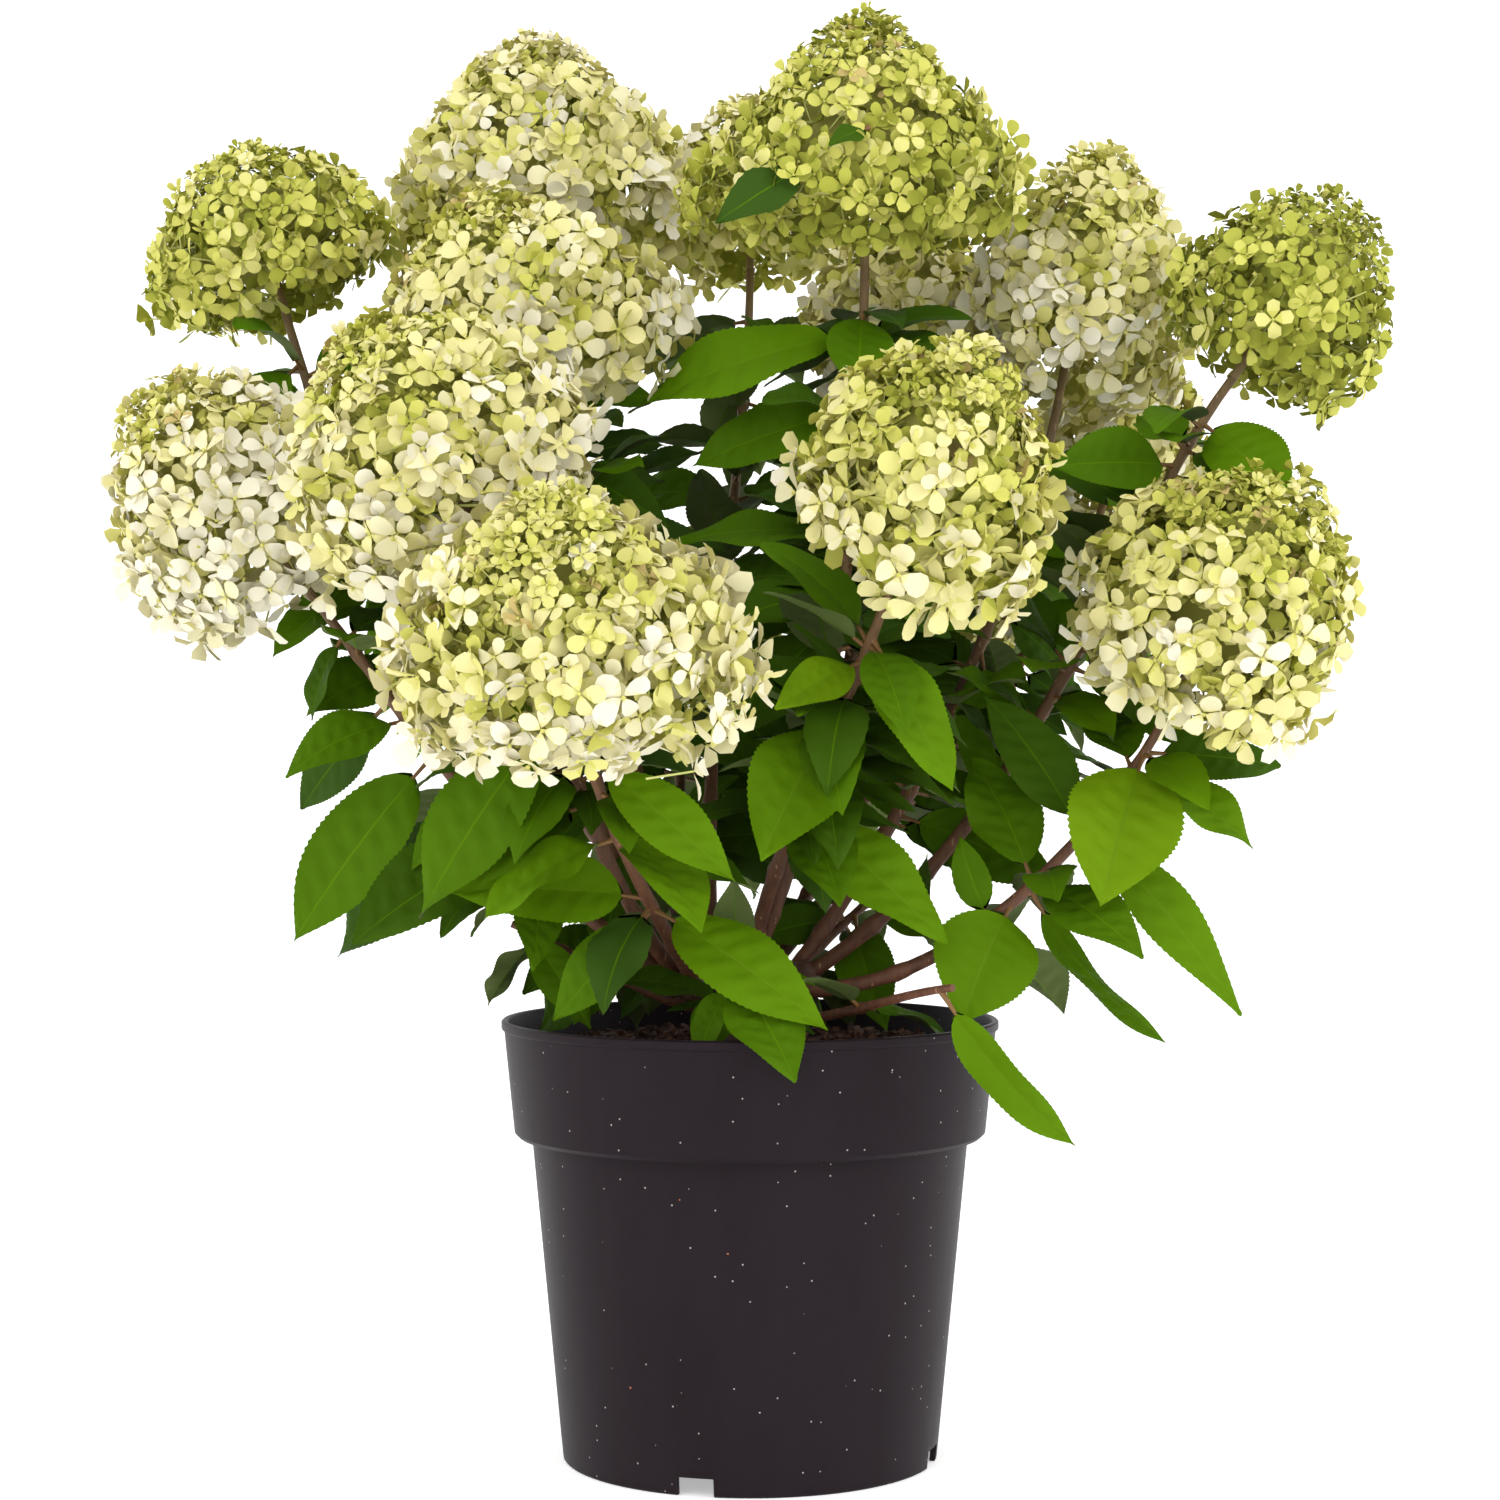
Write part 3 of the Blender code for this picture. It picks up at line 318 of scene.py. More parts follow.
# Tones of leaf, petal and stalk, dealt out leaf by leaf and floret by floret
leafTones = {
    "leafBright": (0.096, 0.205, 0.002),
    "leafMid": (0.068, 0.154, 0.002),
    "leafDeep": (0.040, 0.092, 0.003),
    "leafCool": (0.036, 0.080, 0.008),
    "leafYoung": (0.130, 0.240, 0.003),
    "leafTurned": (0.640, 0.480, 0.012),
}
foliageMaterials = [
    newMaterial(name, colour, 0.60, Specular_IOR_Level=0.05)[0] for name, colour in leafTones.items()
] + [
    newMaterial("leafUnder", (0.100, 0.138, 0.040), 0.70, Specular_IOR_Level=0.05)[0],
    newMaterial("leafVein", (0.115, 0.220, 0.006), 0.60, Specular_IOR_Level=0.05)[0],
    newMaterial("leafStalk", (0.200, 0.105, 0.035), 0.50, Specular_IOR_Level=0.3)[0],
]
leafToneSlot = {name: number for number, name in enumerate(leafTones)}
underSlot, veinSlot, stalkSlot = (len(leafTones) + number for number in range(3))
veinSlots = dict.fromkeys(leafTones, veinSlot)   # the midrib is one tone lighter than its leaf
veinSlots["leafMid"] = leafToneSlot["leafBright"]
veinSlots["leafDeep"] = veinSlots["leafCool"] = leafToneSlot["leafMid"]

petalTones = {
    "petalWhite": (0.800, 0.760, 0.600),
    "petalIvory": (0.770, 0.722, 0.455),
    "petalCream": (0.745, 0.690, 0.320),
    "petalPale": (0.660, 0.630, 0.210),
    "petalLime": (0.570, 0.560, 0.120),
    "petalGreen": (0.430, 0.445, 0.065),
    "petalMoss": (0.315, 0.335, 0.042),
    "petalTan": (0.520, 0.405, 0.150),
}
floretMaterials = [
    newMaterial(name, colour, 0.62, Specular_IOR_Level=0.15)[0] for name, colour in petalTones.items()
] + [
    newMaterial("flowerBud", (0.600, 0.580, 0.140), 0.55)[0],
    newMaterial("pedicel", (0.500, 0.520, 0.150), 0.60)[0],
]
petalToneSlot = {name: number for number, name in enumerate(petalTones)}
# One tone greener for each sepal's base, its own colour, and for its underside, painted shade that tints the
# gaps between layers
greenerTone = dict(zip(petalTones, list(petalTones)[1:7]))
greenerTone.update(petalMoss="petalMoss", petalTan="petalTan")
budSlot, pedicelSlot = len(petalTones), len(petalTones) + 1
panicleMaterials = [
    # headCore: the dense middle of buds, its darker tone partly painted shade deep in the head
    newMaterial("headCore", (0.440, 0.430, 0.085), 0.8)[0],
    newMaterial("headBranch", (0.470, 0.480, 0.130), 0.6)[0],
    newMaterial("headStalk", (0.230, 0.150, 0.060), 0.6)[0],
]
coreSlot, branchSlot, peduncleSlot = range(3)
print("materials made")


# Pot: rings drawn out one from the last, as on a lathe, then notched and drilled
pot = dict(
    height=0.212, rimRadius=0.1195, lipHeight=0.004, lipProud=0.0012, collarHeight=0.056, collarFoot=0.1143,
    chamfer=0.002, bodyTop=0.106, base=0.0907, wall=0.002, skirt=0.003, floorLift=0.010, middleFoot=0.022,
    notches=4, notchWidth=0.017, notchHeight=0.0085, firstNotch=254, drains=6, drainRadius=0.006,
    drainRing=0.062, sides=128, edge=0.0005, lipRound=0.0008, rimDrop=0.0005,
)


def bodyRadius(height):
    share = height / (pot["height"] - pot["collarHeight"])
    return pot["base"] + (pot["bodyTop"] - pot["base"]) * share


# Extrudes the selected ring and resizes it, from one (radius, height) pair to the next
def drawRings(profile):
    radius, height = profile[0]
    for nextRadius, nextHeight in profile[1:]:
        bpy.ops.mesh.extrude_edges_move(TRANSFORM_OT_translate={"value": (0, 0, nextHeight - height)})
        scale = nextRadius / radius
        bpy.ops.transform.resize(value=(scale, scale, 1), center_override=(0, 0, nextHeight))
        radius, height = nextRadius, nextHeight


# A circle drawn out from ring to ring and closed at both ends
def turnedByHand(name, profile, sides):
    radius, height = profile[0]
    bpy.ops.mesh.primitive_circle_add(vertices=sides, radius=radius, location=(0, 0, height))
    made = bpy.context.active_object
    made.name = made.data.name = name
    settle(made)
    bpy.ops.object.mode_set(mode="EDIT")
    bpy.ops.mesh.select_all(action="SELECT")
    bpy.ops.mesh.edge_face_add()
    bpy.ops.mesh.select_mode(type="EDGE")
    bpy.ops.mesh.select_all(action="SELECT")
    drawRings(profile)
    bpy.ops.mesh.edge_face_add()
    bpy.ops.mesh.select_all(action="SELECT")
    bpy.ops.mesh.normals_make_consistent(inside=False)
    bpy.ops.object.mode_set(mode="OBJECT")
    return made


# Joins the cutters and takes them away from the object
def cutAway(obj, cutters):
    activate(cutters[0])
    for cutter in cutters:
        cutter.select_set(True)
    bpy.ops.object.join()
    cutter = bpy.context.active_object
    applied(obj, "BOOLEAN", operation="DIFFERENCE", object=cutter, solver="EXACT")
    bpy.data.objects.remove(cutter)


def makePot():
    step = pot["height"] - pot["collarHeight"]
    floor = pot["floorLift"] + pot["wall"]
    lip = pot["height"] - pot["lipHeight"]
    profile = (
        (bodyRadius(floor) - pot["wall"], floor),
        (pot["bodyTop"] - pot["wall"], step),
        (pot["collarFoot"] - pot["wall"], step + pot["chamfer"] + pot["wall"]),
        (pot["rimRadius"] - pot["wall"], pot["height"] - pot["rimDrop"]),
        (pot["rimRadius"] - pot["wall"] + pot["lipRound"], pot["height"]),
        (pot["rimRadius"] + pot["lipProud"] - pot["lipRound"], pot["height"]),
        (pot["rimRadius"] + pot["lipProud"], pot["height"] - pot["lipRound"]),
        (pot["rimRadius"] + pot["lipProud"], lip),
        (pot["rimRadius"] - 0.0002, lip - 0.0010),
        (pot["collarFoot"], step + pot["chamfer"]),
        (pot["collarFoot"] - pot["chamfer"], step),
        (pot["bodyTop"], step),
        (pot["bodyTop"] - 0.0004, step - 0.003),
        (bodyRadius(pot["notchHeight"] + 0.004), pot["notchHeight"] + 0.004),
        (pot["base"], 0.0006),
        (pot["base"] - 0.0006, 0.0),
        (pot["base"] - pot["skirt"], 0.0),
        (bodyRadius(pot["floorLift"]) - pot["skirt"], pot["floorLift"]),
        (pot["middleFoot"], pot["floorLift"]),
        (pot["middleFoot"], 0.0),
    )
    made = turnedByHand("nurseryPot", profile, pot["sides"])
    cutters = []
    for number in range(pot["notches"]):
        turn = math.radians(pot["firstNotch"] + number * 360 / pot["notches"])
        reach = pot["base"] - pot["skirt"] / 2
        bpy.ops.mesh.primitive_cube_add(
            size=1, location=(reach * math.cos(turn), reach * math.sin(turn), 0), rotation=(0, 0, turn),
            scale=(4 * pot["skirt"], pot["notchWidth"], 2 * pot["notchHeight"]))
        cutters.append(bpy.context.active_object)
    for number in range(pot["drains"]):
        turn = math.radians((number + 0.5) * 360 / pot["drains"])
        bpy.ops.mesh.primitive_cylinder_add(
            vertices=20, radius=pot["drainRadius"], depth=6 * pot["wall"],
            location=(pot["drainRing"] * math.cos(turn), pot["drainRing"] * math.sin(turn), floor))
        cutters.append(bpy.context.active_object)
    cutAway(made, cutters)
    applied(made, "BEVEL", width=pot["edge"], segments=2, limit_method="ANGLE", angle_limit=math.radians(50))
    activate(made)
    bpy.ops.object.shade_smooth_by_angle(angle=math.radians(35))
    made.data.materials.append(potPlastic)
    return handOver(made, "pot", "pot")


makePot()
print("pot made")


# Compost: a crumbly round bed with bits of bark lying in it
bed = dict(top=0.197, rise=0.004, middle=0.041, rings=22, sides=110, lump=0.0034, crumb=0.0016, depth=0.040,
           chips=620, grit=900)


# Height of the bed without its crumbs
def bedHeight(x, y):
    reach = math.hypot(x, y)
    wall = pot["collarFoot"] - pot["wall"]
    slope = min(max((wall - reach) / (wall - bed["middle"]), 0), 1)
    lumps = noise.noise(Vector((x, y, 0)) * 38) * bed["lump"] * 0.5
    return bed["top"] + bed["rise"] * slope + lumps * min(1, (wall - reach) / 0.012 + 0.2)


def makeCompost():
    wall = pot["collarFoot"] - pot["wall"] - 2 * gap
    bpy.ops.mesh.primitive_circle_add(vertices=bed["sides"], radius=wall, location=(0, 0, bed["top"]))
    made = bpy.context.active_object
    made.name = made.data.name = "compostBed"
    settle(made)
    bpy.ops.object.mode_set(mode="EDIT")
    bpy.ops.mesh.select_all(action="SELECT")
    bpy.ops.mesh.edge_face_add()
    bpy.ops.mesh.extrude_region_move(TRANSFORM_OT_translate={"value": (0, 0, -bed["depth"])})
    bpy.ops.transform.resize(value=(0.90, 0.90, 1), center_override=(0, 0, 0))
    bpy.ops.object.mode_set(mode="OBJECT")
    topFace = max(made.data.polygons, key=lambda face: (len(face.vertices), face.center.z))
    for face in made.data.polygons:
        face.select = face.index == topFace.index
    bpy.ops.object.mode_set(mode="EDIT")
    for _ in range(bed["rings"]):
        bpy.ops.mesh.inset(thickness=wall / (bed["rings"] + 1))
    bpy.ops.mesh.poke()
    bpy.ops.mesh.select_all(action="SELECT")
    bpy.ops.mesh.quads_convert_to_tris()
    bpy.ops.mesh.normals_make_consistent(inside=False)
    bpy.ops.object.mode_set(mode="OBJECT")
    for vert in made.data.vertices:
        if vert.co.z > bed["top"] - bed["depth"] / 2:
            crumbs = noise.fractal(vert.co * 160, 0.6, 2.0, 4) * bed["crumb"]
            vert.co.z = bedHeight(vert.co.x, vert.co.y) + crumbs
    made.data.shade_smooth()
    made.data.materials.append(compostCrumb)
    return handOver(made, "compost", "compost")


# A broken bit of bark: a box with every corner knocked about
def chipArrays(draw, centre, size):
    corners = np.array([(x, y, z) for x in (-0.5, 0.5) for y in (-0.5, 0.5) for z in (-0.5, 0.5)])
    knocks = np.array([[draw.uniform(0.5, 1.15) for _ in range(3)] for _ in range(8)])
    corners = corners * np.array(size) * knocks
    turn = Quaternion((draw.gauss(0, 1), draw.gauss(0, 1), draw.gauss(0, 3)), draw.uniform(0, math.tau))
    tilt = np.array(turn.normalized().to_matrix())
    faces = np.array([(0, 1, 3), (0, 3, 2), (4, 6, 7), (4, 7, 5), (0, 4, 5), (0, 5, 1),
                      (2, 3, 7), (2, 7, 6), (0, 2, 6), (0, 6, 4), (1, 5, 7), (1, 7, 3)])
    return corners @ tilt.T + np.array(centre), faces


def makeChips():
    draw = random.Random(5)
    heap = []
    wall = pot["collarFoot"] - pot["wall"] - 0.006
    for number in range(bed["chips"] + bed["grit"]):
        reach, turn = wall * math.sqrt(draw.random()), draw.uniform(0, math.tau)
        x, y = reach * math.cos(turn), reach * math.sin(turn)
        if number < bed["chips"]:
            size = (draw.uniform(0.003, 0.010), draw.uniform(0.002, 0.005), draw.uniform(0.0012, 0.0028))
        else:
            size = (draw.uniform(0.001, 0.0026),) * 2 + (draw.uniform(0.0008, 0.002),)
        points, faces = chipArrays(draw, (x, y, bedHeight(x, y) + 0.0008), size)
        heap.append((points, faces, np.full(len(faces), int(draw.random() < 0.45))))
    made = heapMesh("barkChips", heap, [compostCrumb, barkChip])
    made.data.shade_flat()
    return handOver(made, "compost")


makeCompost()
makeChips()
print("compost made")

# Arms of the stool: compass heading in degrees from +X, and length
Arm = namedtuple("Arm", "heading length")
arms = {
    "frontLeft": Arm(232, 0.040),
    "left": Arm(172, 0.040),
    "backLeft": Arm(118, 0.040),
    "backRight": Arm(58, 0.042),
    "right": Arm(2, 0.044),
    "frontRight": Arm(300, 0.042),
}

# One row for each cane, as in the solids
Shoot = namedtuple("Shoot", "arm station centre width length heading lean rise bare pairs turn tone taper")
shoots = (
    Shoot("left", 1.00, (-0.246, 0.060, 0.603), 0.128, 0.098, 170, 16, 52, 0.42, 4, 20, "lime", 0.45),
    Shoot("backLeft", 0.62, (-0.114, 0.135, 0.656), 0.160, 0.148, 150, 8, 62, 0.38, 5, 50, "cream", 0.85),
    Shoot("left", 0.60, (-0.117, 0.010, 0.558), 0.160, 0.128, 205, 22, 60, 0.42, 4, 0, "cream", 0.70),
    Shoot("frontLeft", 0.62, (-0.145, -0.115, 0.481), 0.144, 0.130, 205, 32, 40, 0.40, 4, 35, "white", 0.60),
    Shoot("frontLeft", 1.00, (-0.247, -0.030, 0.465), 0.130, 0.142, 192, 38, 32, 0.27, 4, 70, "white", 0.62),
    Shoot("frontLeft", 0.30, (-0.079, -0.205, 0.399), 0.158, 0.132, 262, 42, 40, 0.22, 1, 20, "white", 0.85),
    Shoot("frontRight", 0.30, (0.056, -0.005, 0.638), 0.156, 0.132, 270, 10, 72, 0.36, 5, 45, "lime", 0.85),
    Shoot("right", 0.62, (0.169, 0.070, 0.582), 0.118, 0.152, 20, 12, 55, 0.24, 5, 80, "cream", 0.72),
    Shoot("right", 1.00, (0.258, -0.025, 0.560), 0.112, 0.112, 355, 34, 34, 0.38, 5, 10, "lime", 0.40),
    Shoot("frontRight", 0.40, (0.078, -0.150, 0.464), 0.122, 0.138, 300, 32, 84, 0.36, 5, 60, "white", 0.50),
    Shoot("frontRight", 1.0, (0.218, -0.080, 0.413), 0.144, 0.136, 318, 30, -24, 0.34, 4, 30, "white", 0.42),
    Shoot("backLeft", 0.28, (0.000, 0.215, 0.655), 0.110, 0.112, 90, 10, 65, 0.38, 5, 0, "cream", 0.70),
    Shoot("backRight", 0.30, (0.083, 0.140, 0.577), 0.108, 0.112, 60, 12, 60, 0.38, 5, 55, "cream", 0.60),
    Shoot("backRight", 1.00, (0.203, 0.175, 0.511), 0.100, 0.108, 40, 24, 45, 0.40, 5, 12, "cream", 0.55),
    Shoot("backLeft", 1.00, (-0.190, 0.175, 0.500), 0.118, 0.120, 135, 30, 45, 0.40, 4, 75, "white", 0.60),
    Shoot("backLeft", 0.82, (-0.045, 0.205, 0.415), 0.122, 0.120, 100, 34, 36, 0.40, 4, 40, "lime", 0.55),
    Shoot("backRight", 0.66, (0.115, 0.225, 0.450), 0.116, 0.120, 62, 30, 42, 0.40, 4, 5, "cream", 0.60),
)

# How single heads depart from their even dome: the way from the centre, the degrees over which it fades,
# and how far
Bulge = namedtuple("Bulge", "way spread amount")
bulges = {
    1: (Bulge((0.67, 0, -0.74), 22, -0.34), Bulge((-0.77, 0, -0.64), 20, 0.16)),
    2: (Bulge((-0.71, 0, 0.71), 22, -0.16), Bulge((0.79, 0, -0.62), 22, 0.14)),
    3: (Bulge((0.67, 0, 0.74), 22, -0.14), Bulge((0.74, 0, -0.67), 22, 0.08)),
    6: (
        Bulge((0.71, 0, 0.71), 28, -0.26),
        Bulge((0, 0, -1), 25, -0.28),
        Bulge((0.62, 0, -0.78), 24, 0.08),
        Bulge((-0.71, 0, 0.71), 25, -0.14),
    ),
    7: (
        Bulge((-0.85, 0, -0.53), 20, 0.20),
        Bulge((0.77, 0, 0.64), 25, -0.14),
        Bulge((0.50, 0, -0.87), 22, -0.15),
        Bulge((-0.87, 0, 0.50), 20, -0.10),
        Bulge((-0.98, 0, 0.12), 16, -0.09),
    ),
    8: (Bulge((-0.77, 0, -0.64), 25, -0.28), Bulge((0.50, 0, -0.87), 20, 0.10)),
    9: (Bulge((0.71, 0, 0.71), 22, 0.10), Bulge((-0.64, 0, -0.77), 20, -0.24)),
    10: (Bulge((-0.77, 0, -0.64), 26, -0.38), Bulge((0.57, 0, -0.82), 20, 0.16)),
    11: (
        Bulge((0.82, 0, -0.57), 24, -0.28),
        Bulge((0.64, 0, 0.77), 20, 0.12),
        Bulge((-0.64, 0, -0.77), 22, 0.12),
        Bulge((-0.97, 0, -0.26), 15, -0.16),
    ),
}

# Short leafy shoots from the stool: heading, rise and length
LowShoot = namedtuple("LowShoot", "heading rise length pairs turn")
lowShoots = (
    LowShoot(274, 14, 0.095, 2, 0),
    LowShoot(187, 22, 0.112, 2, 45),
    LowShoot(142, 30, 0.095, 4, 20),
    LowShoot(28, 32, 0.100, 4, 60),
    LowShoot(311, 7, 0.158, 1, 30),
)

# The leaves that stand out from the front: how far up the limb, the way the leaf points in that view in
# degrees from +X towards +Z, its tip towards the viewer, its length, its width beside that, the turn of its
# blade, its bend and its tone
Seen = namedtuple("Seen", "share swing toward length wide turn bend tone", defaults=(26, None))
seenLeaves = {
    "01": (
        Seen(0.93, 230, 10, 0.060, 0.50, 0, tone="leafMid"),
        Seen(0.91, 35, -25, 0.050, 0.42, 30, tone="leafMid"),
    ),
    "03": (
        Seen(0.94, 332, 5, 0.062, 0.46, 20, tone="leafDeep"),
    ),
    "04": (
        Seen(0.66, 236, 8, 0.113, 0.40, 0, tone="leafMid"),
        Seen(0.72, 205, 20, 0.045, 0.46, 40, tone="leafTurned"),
    ),
    "05": (
        Seen(0.62, 234, 8, 0.112, 0.42, 0, tone="leafMid"),
        Seen(0.48, 223, -22, 0.112, 0.40, 0, tone="leafCool"),
        Seen(0.75, 230, -22, 0.078, 0.44, 0, tone="leafCool"),
        Seen(0.90, 250, 5, 0.044, 0.50, 55, tone="leafDeep"),
        Seen(0.33, 268, 12, 0.074, 0.42, -25, tone="leafMid"),
    ),
    "06": (
        Seen(0.42, 178, 12, 0.092, 0.48, 0, tone="leafBright"),
        Seen(0.92, 318, 8, 0.086, 0.38, 0, tone="leafBright"),
        Seen(0.36, 326, 32, 0.112, 0.36, 0, tone="leafBright"),
        Seen(0.37, 231, 4, 0.070, 0.44, 0, tone="leafMid"),
    ),
    "07": (
        Seen(0.90, 199, 6, 0.124, 0.36, 10, tone="leafBright"),
        Seen(0.80, 200, 2, 0.088, 0.42, 0, tone="leafMid"),
        Seen(0.95, 262, 34, 0.055, 0.66, 0, tone="leafMid"),
        Seen(0.63, 182, 0, 0.088, 0.40, 35, tone="leafMid"),
        Seen(0.52, 225, -6, 0.094, 0.42, 0, tone="leafDeep"),
    ),
    "08": (
        Seen(0.60, 278, 12, 0.088, 0.50, 0, tone="leafMid"),
        Seen(0.31, 336, 6, 0.088, 0.40, 0, tone="leafMid"),
        Seen(0.66, 321, -28, 0.066, 0.42, 0, tone="leafDeep"),
    ),
    "09": (
        Seen(0.86, 184, 18, 0.064, 0.58, 0, tone="leafMid"),
        Seen(0.95, 311, 28, 0.062, 0.70, 0, tone="leafBright"),
    ),
    "10": (
        Seen(0.70, 240, 30, 0.088, 0.56, 0, tone="leafBright"),
        Seen(0.94, 295, 12, 0.080, 0.42, 0, tone="leafBright"),
        Seen(0.83, 212, 30, 0.052, 0.52, 0, tone="leafYoung"),
        Seen(0.46, 316, 16, 0.096, 0.42, 0, tone="leafBright"),
    ),
    "11": (
        Seen(0.52, 242, 20, 0.066, 0.78, 0, tone="leafBright"),
        Seen(0.93, 250, 28, 0.085, 0.66, 0, tone="leafYoung"),
        Seen(0.72, 312, 6, 0.114, 0.25, 20, tone="leafBright"),
        Seen(0.56, 311, 0, 0.098, 0.26, 98, tone="leafMid"),
        Seen(0.94, 352, -18, 0.074, 0.40, 0, tone="leafDeep"),
        Seen(0.70, 121, -14, 0.082, 0.40, 0, tone="leafDeep"),
        Seen(0.86, 290, -20, 0.042, 0.42, 0, tone="leafDeep"),
    ),
    "12": (
        Seen(0.55, 5, 5, 0.100, 0.42, 0, tone="leafDeep"),
        Seen(0.44, 300, 0, 0.090, 0.42, 0, tone="leafDeep"),
    ),
    "13": (
        Seen(0.52, 299, 10, 0.086, 0.50, 0, tone="leafMid"),
        Seen(0.58, 250, 5, 0.090, 0.46, 0, tone="leafDeep"),
    ),
    "low_1": (
        Seen(0.92, 303, 48, 0.075, 0.52, 0, 32, tone="leafMid"),
        Seen(0.50, 232, 35, 0.054, 0.50, 0, 40, tone="leafMid"),
    ),
    "low_2": (
        Seen(0.96, 304, 20, 0.060, 0.42, 0, tone="leafMid"),
        Seen(0.55, 236, 0, 0.062, 0.46, 0, tone="leafDeep"),
    ),
    "low_4": (
        Seen(0.85, 281, 25, 0.070, 0.44, 20, tone="leafMid"),
        Seen(0.80, 188, 30, 0.056, 0.44, 0, tone="leafDeep"),
    ),
    "low_5": (
        Seen(0.97, 312, 5, 0.094, 0.32, 88, tone="leafBright"),
    ),
}
seenTries = (
    (0, 0, 1), (10, 0, 1), (-10, 0, 1), (0, 8, 1), (0, -8, 1),
    (20, 0, 0.95), (-20, 0, 0.95), (30, 10, 0.9), (-30, -10, 0.9), (40, -10, 0.85), (-40, 10, 0.85),
)
ruledTries = (
    (0, 0, 1), (22, 0, 1), (-22, 0, 1), (0, 0.3, 1), (0, -0.3, 1),
    (40, 0.1, 0.85), (-40, 0.1, 0.85), (0, 0.2, 0.7), (0, -0.4, 0.7),
)

wood = dict(
    stoolPlace=(-0.012, 0.0), trunkHeight=0.026, trunkFoot=0.017, trunkTop=0.0115, armFoot=0.0068,
    armTip=0.0052, knob=0.0078, armRise=24, stub=0.014, stubLimit=0.110, caneFoot=0.0038, caneTip=0.0022,
    clear=0.004, peduncle=0.018, lowShare=0.8, samples=48, rounds=60,
)


# The canes' curves, worked out as in the solids
class Limb:
    def __init__(self, handles, foot, tip):
        self.handles = [Vector(handle) for handle in handles]
        self.radii = (foot, tip)
        self.measure()

    def measure(self):
        a, b, c, d = self.handles
        self.points = []
        for i in range(wood["samples"] + 1):
            t = i / wood["samples"]
            s = 1 - t
            self.points.append(s**3 * a + 3 * s * s * t * b + 3 * s * t * t * c + t**3 * d)
        self.lengths = [0.0]
        for here, there in zip(self.points, self.points[1:]):
            self.lengths.append(self.lengths[-1] + (there - here).length)
        self.length = self.lengths[-1]

    # Point, direction and radius at a distance from the foot
    def at(self, distance):
        distance = min(max(distance, 0.0), self.length)
        i = 0
        while i < wood["samples"] - 1 and self.lengths[i + 1] < distance:
            i += 1
        share = (distance - self.lengths[i]) / (self.lengths[i + 1] - self.lengths[i])
        point = self.points[i].lerp(self.points[i + 1], share)
        before, after = self.points[max(i - 1, 0)], self.points[min(i + 2, wood["samples"])]
        foot, tip = self.radii
        return point, (after - before).normalized(), foot + (tip - foot) * distance / self.length


def compass(heading, rise):
    level = math.cos(rise)
    return Vector((level * math.cos(heading), level * math.sin(heading), math.sin(rise)))


def headAxis(shoot):
    return compass(math.radians(shoot.heading), math.radians(90 - shoot.lean))


def stoolPoint(share):
    return Vector((*wood["stoolPlace"], bed["top"] + bed["rise"] + share * wood["trunkHeight"]))


def armLimb(arm):
    heading, rise = math.radians(arm.heading), math.radians(wood["armRise"])
    foot = stoolPoint(0.55)
    out, level = compass(heading, rise), compass(heading, rise * 0.4)
    tip = foot + out * arm.length
    return Limb((foot, foot + level * arm.length * 0.4, tip - out * arm.length * 0.3, tip),
                wood["armFoot"], wood["armTip"])


def caneLimb(shoot, armLimbs):
    arm = armLimbs[shoot.arm]
    foot, along, _ = arm.at(shoot.station * arm.length)
    axis = headAxis(shoot)
    end = Vector(shoot.centre) - axis * shoot.length * 0.42
    reach = end - foot
    start = (compass(math.atan2(reach.y, reach.x), math.radians(shoot.rise)) + 0.3 * along).normalized()
    stretch = reach.length
    return Limb((foot, foot + start * stretch * 0.38, end - axis * stretch * 0.24, end),
                wood["caneFoot"], wood["caneTip"])


def lowLimb(low):
    foot = stoolPoint(0.6)
    heading = math.radians(low.heading)
    out, start = compass(heading, math.radians(low.rise)), compass(heading, math.radians(low.rise - 20))
    tip = foot + out * low.length
    return Limb((foot, foot + start * low.length * 0.35, tip - out * low.length * 0.3, tip),
                wood["caneFoot"] * wood["lowShare"], wood["caneTip"] * wood["lowShare"])


def shift(limb, index, move):
    near, far = (1, 2) if index / wood["samples"] < 0.5 else (2, 1)
    limb.handles[near] += move * 1.6
    limb.handles[far] += move * 0.6


def pushFromHead(limb, shoot):
    centre = Vector(shoot.centre)
    room = 0.5 * max(shoot.width, shoot.length) + wood["clear"] + wood["caneFoot"]
    nearest = min(limb.points[:-6], key=lambda point: (point - centre).length)
    away = nearest - centre
    if away.length < room:
        shift(limb, limb.points.index(nearest), away.normalized() * (room - away.length) * 0.5)


def pushFromCane(limb, other, need):
    start = wood["samples"] // 6
    pairs = [
        ((p - q).length, i, j)
        for i, p in enumerate(limb.points[start::2])
        for j, q in enumerate(other.points[start::2])
    ]
    distance, i, j = min(pairs)
    if distance < need:
        i, j = start + 2 * i, start + 2 * j
        away = (limb.points[i] - other.points[j]).normalized() * (need - distance) * 0.5
        shift(limb, i, away)
        shift(other, j, -away)


def keepApart(canes):
    need = 2 * wood["caneFoot"] + wood["clear"]
    for _ in range(wood["rounds"]):
        for i, (_, limb) in enumerate(canes):
            for j, (otherShoot, other) in enumerate(canes):
                if i != j:
                    pushFromHead(limb, otherShoot)
                if i < j:
                    pushFromCane(limb, other, need)
        for _, limb in canes:
            limb.measure()


# How far along a limb it stays in the stool's wood or beside another limb
def stubOf(limb, others, woodPoints):
    last = wood["stub"]
    woodRoom = wood["armFoot"] + wood["caneFoot"] + wood["clear"]
    limbRoom = 2 * wood["caneFoot"] + wood["clear"] / 2
    for i, point in enumerate(limb.points):
        if limb.lengths[i] > wood["stubLimit"]:
            break
        nearWood = min((point - knot).length for knot in woodPoints) < woodRoom
        nearLimb = any(
            min((point - otherPoint).length for otherPoint in other.points) < limbRoom
            for other in others if other is not limb
        )
        if nearWood or nearLimb:
            last = max(last, limb.lengths[i] + wood["clear"])
    return last


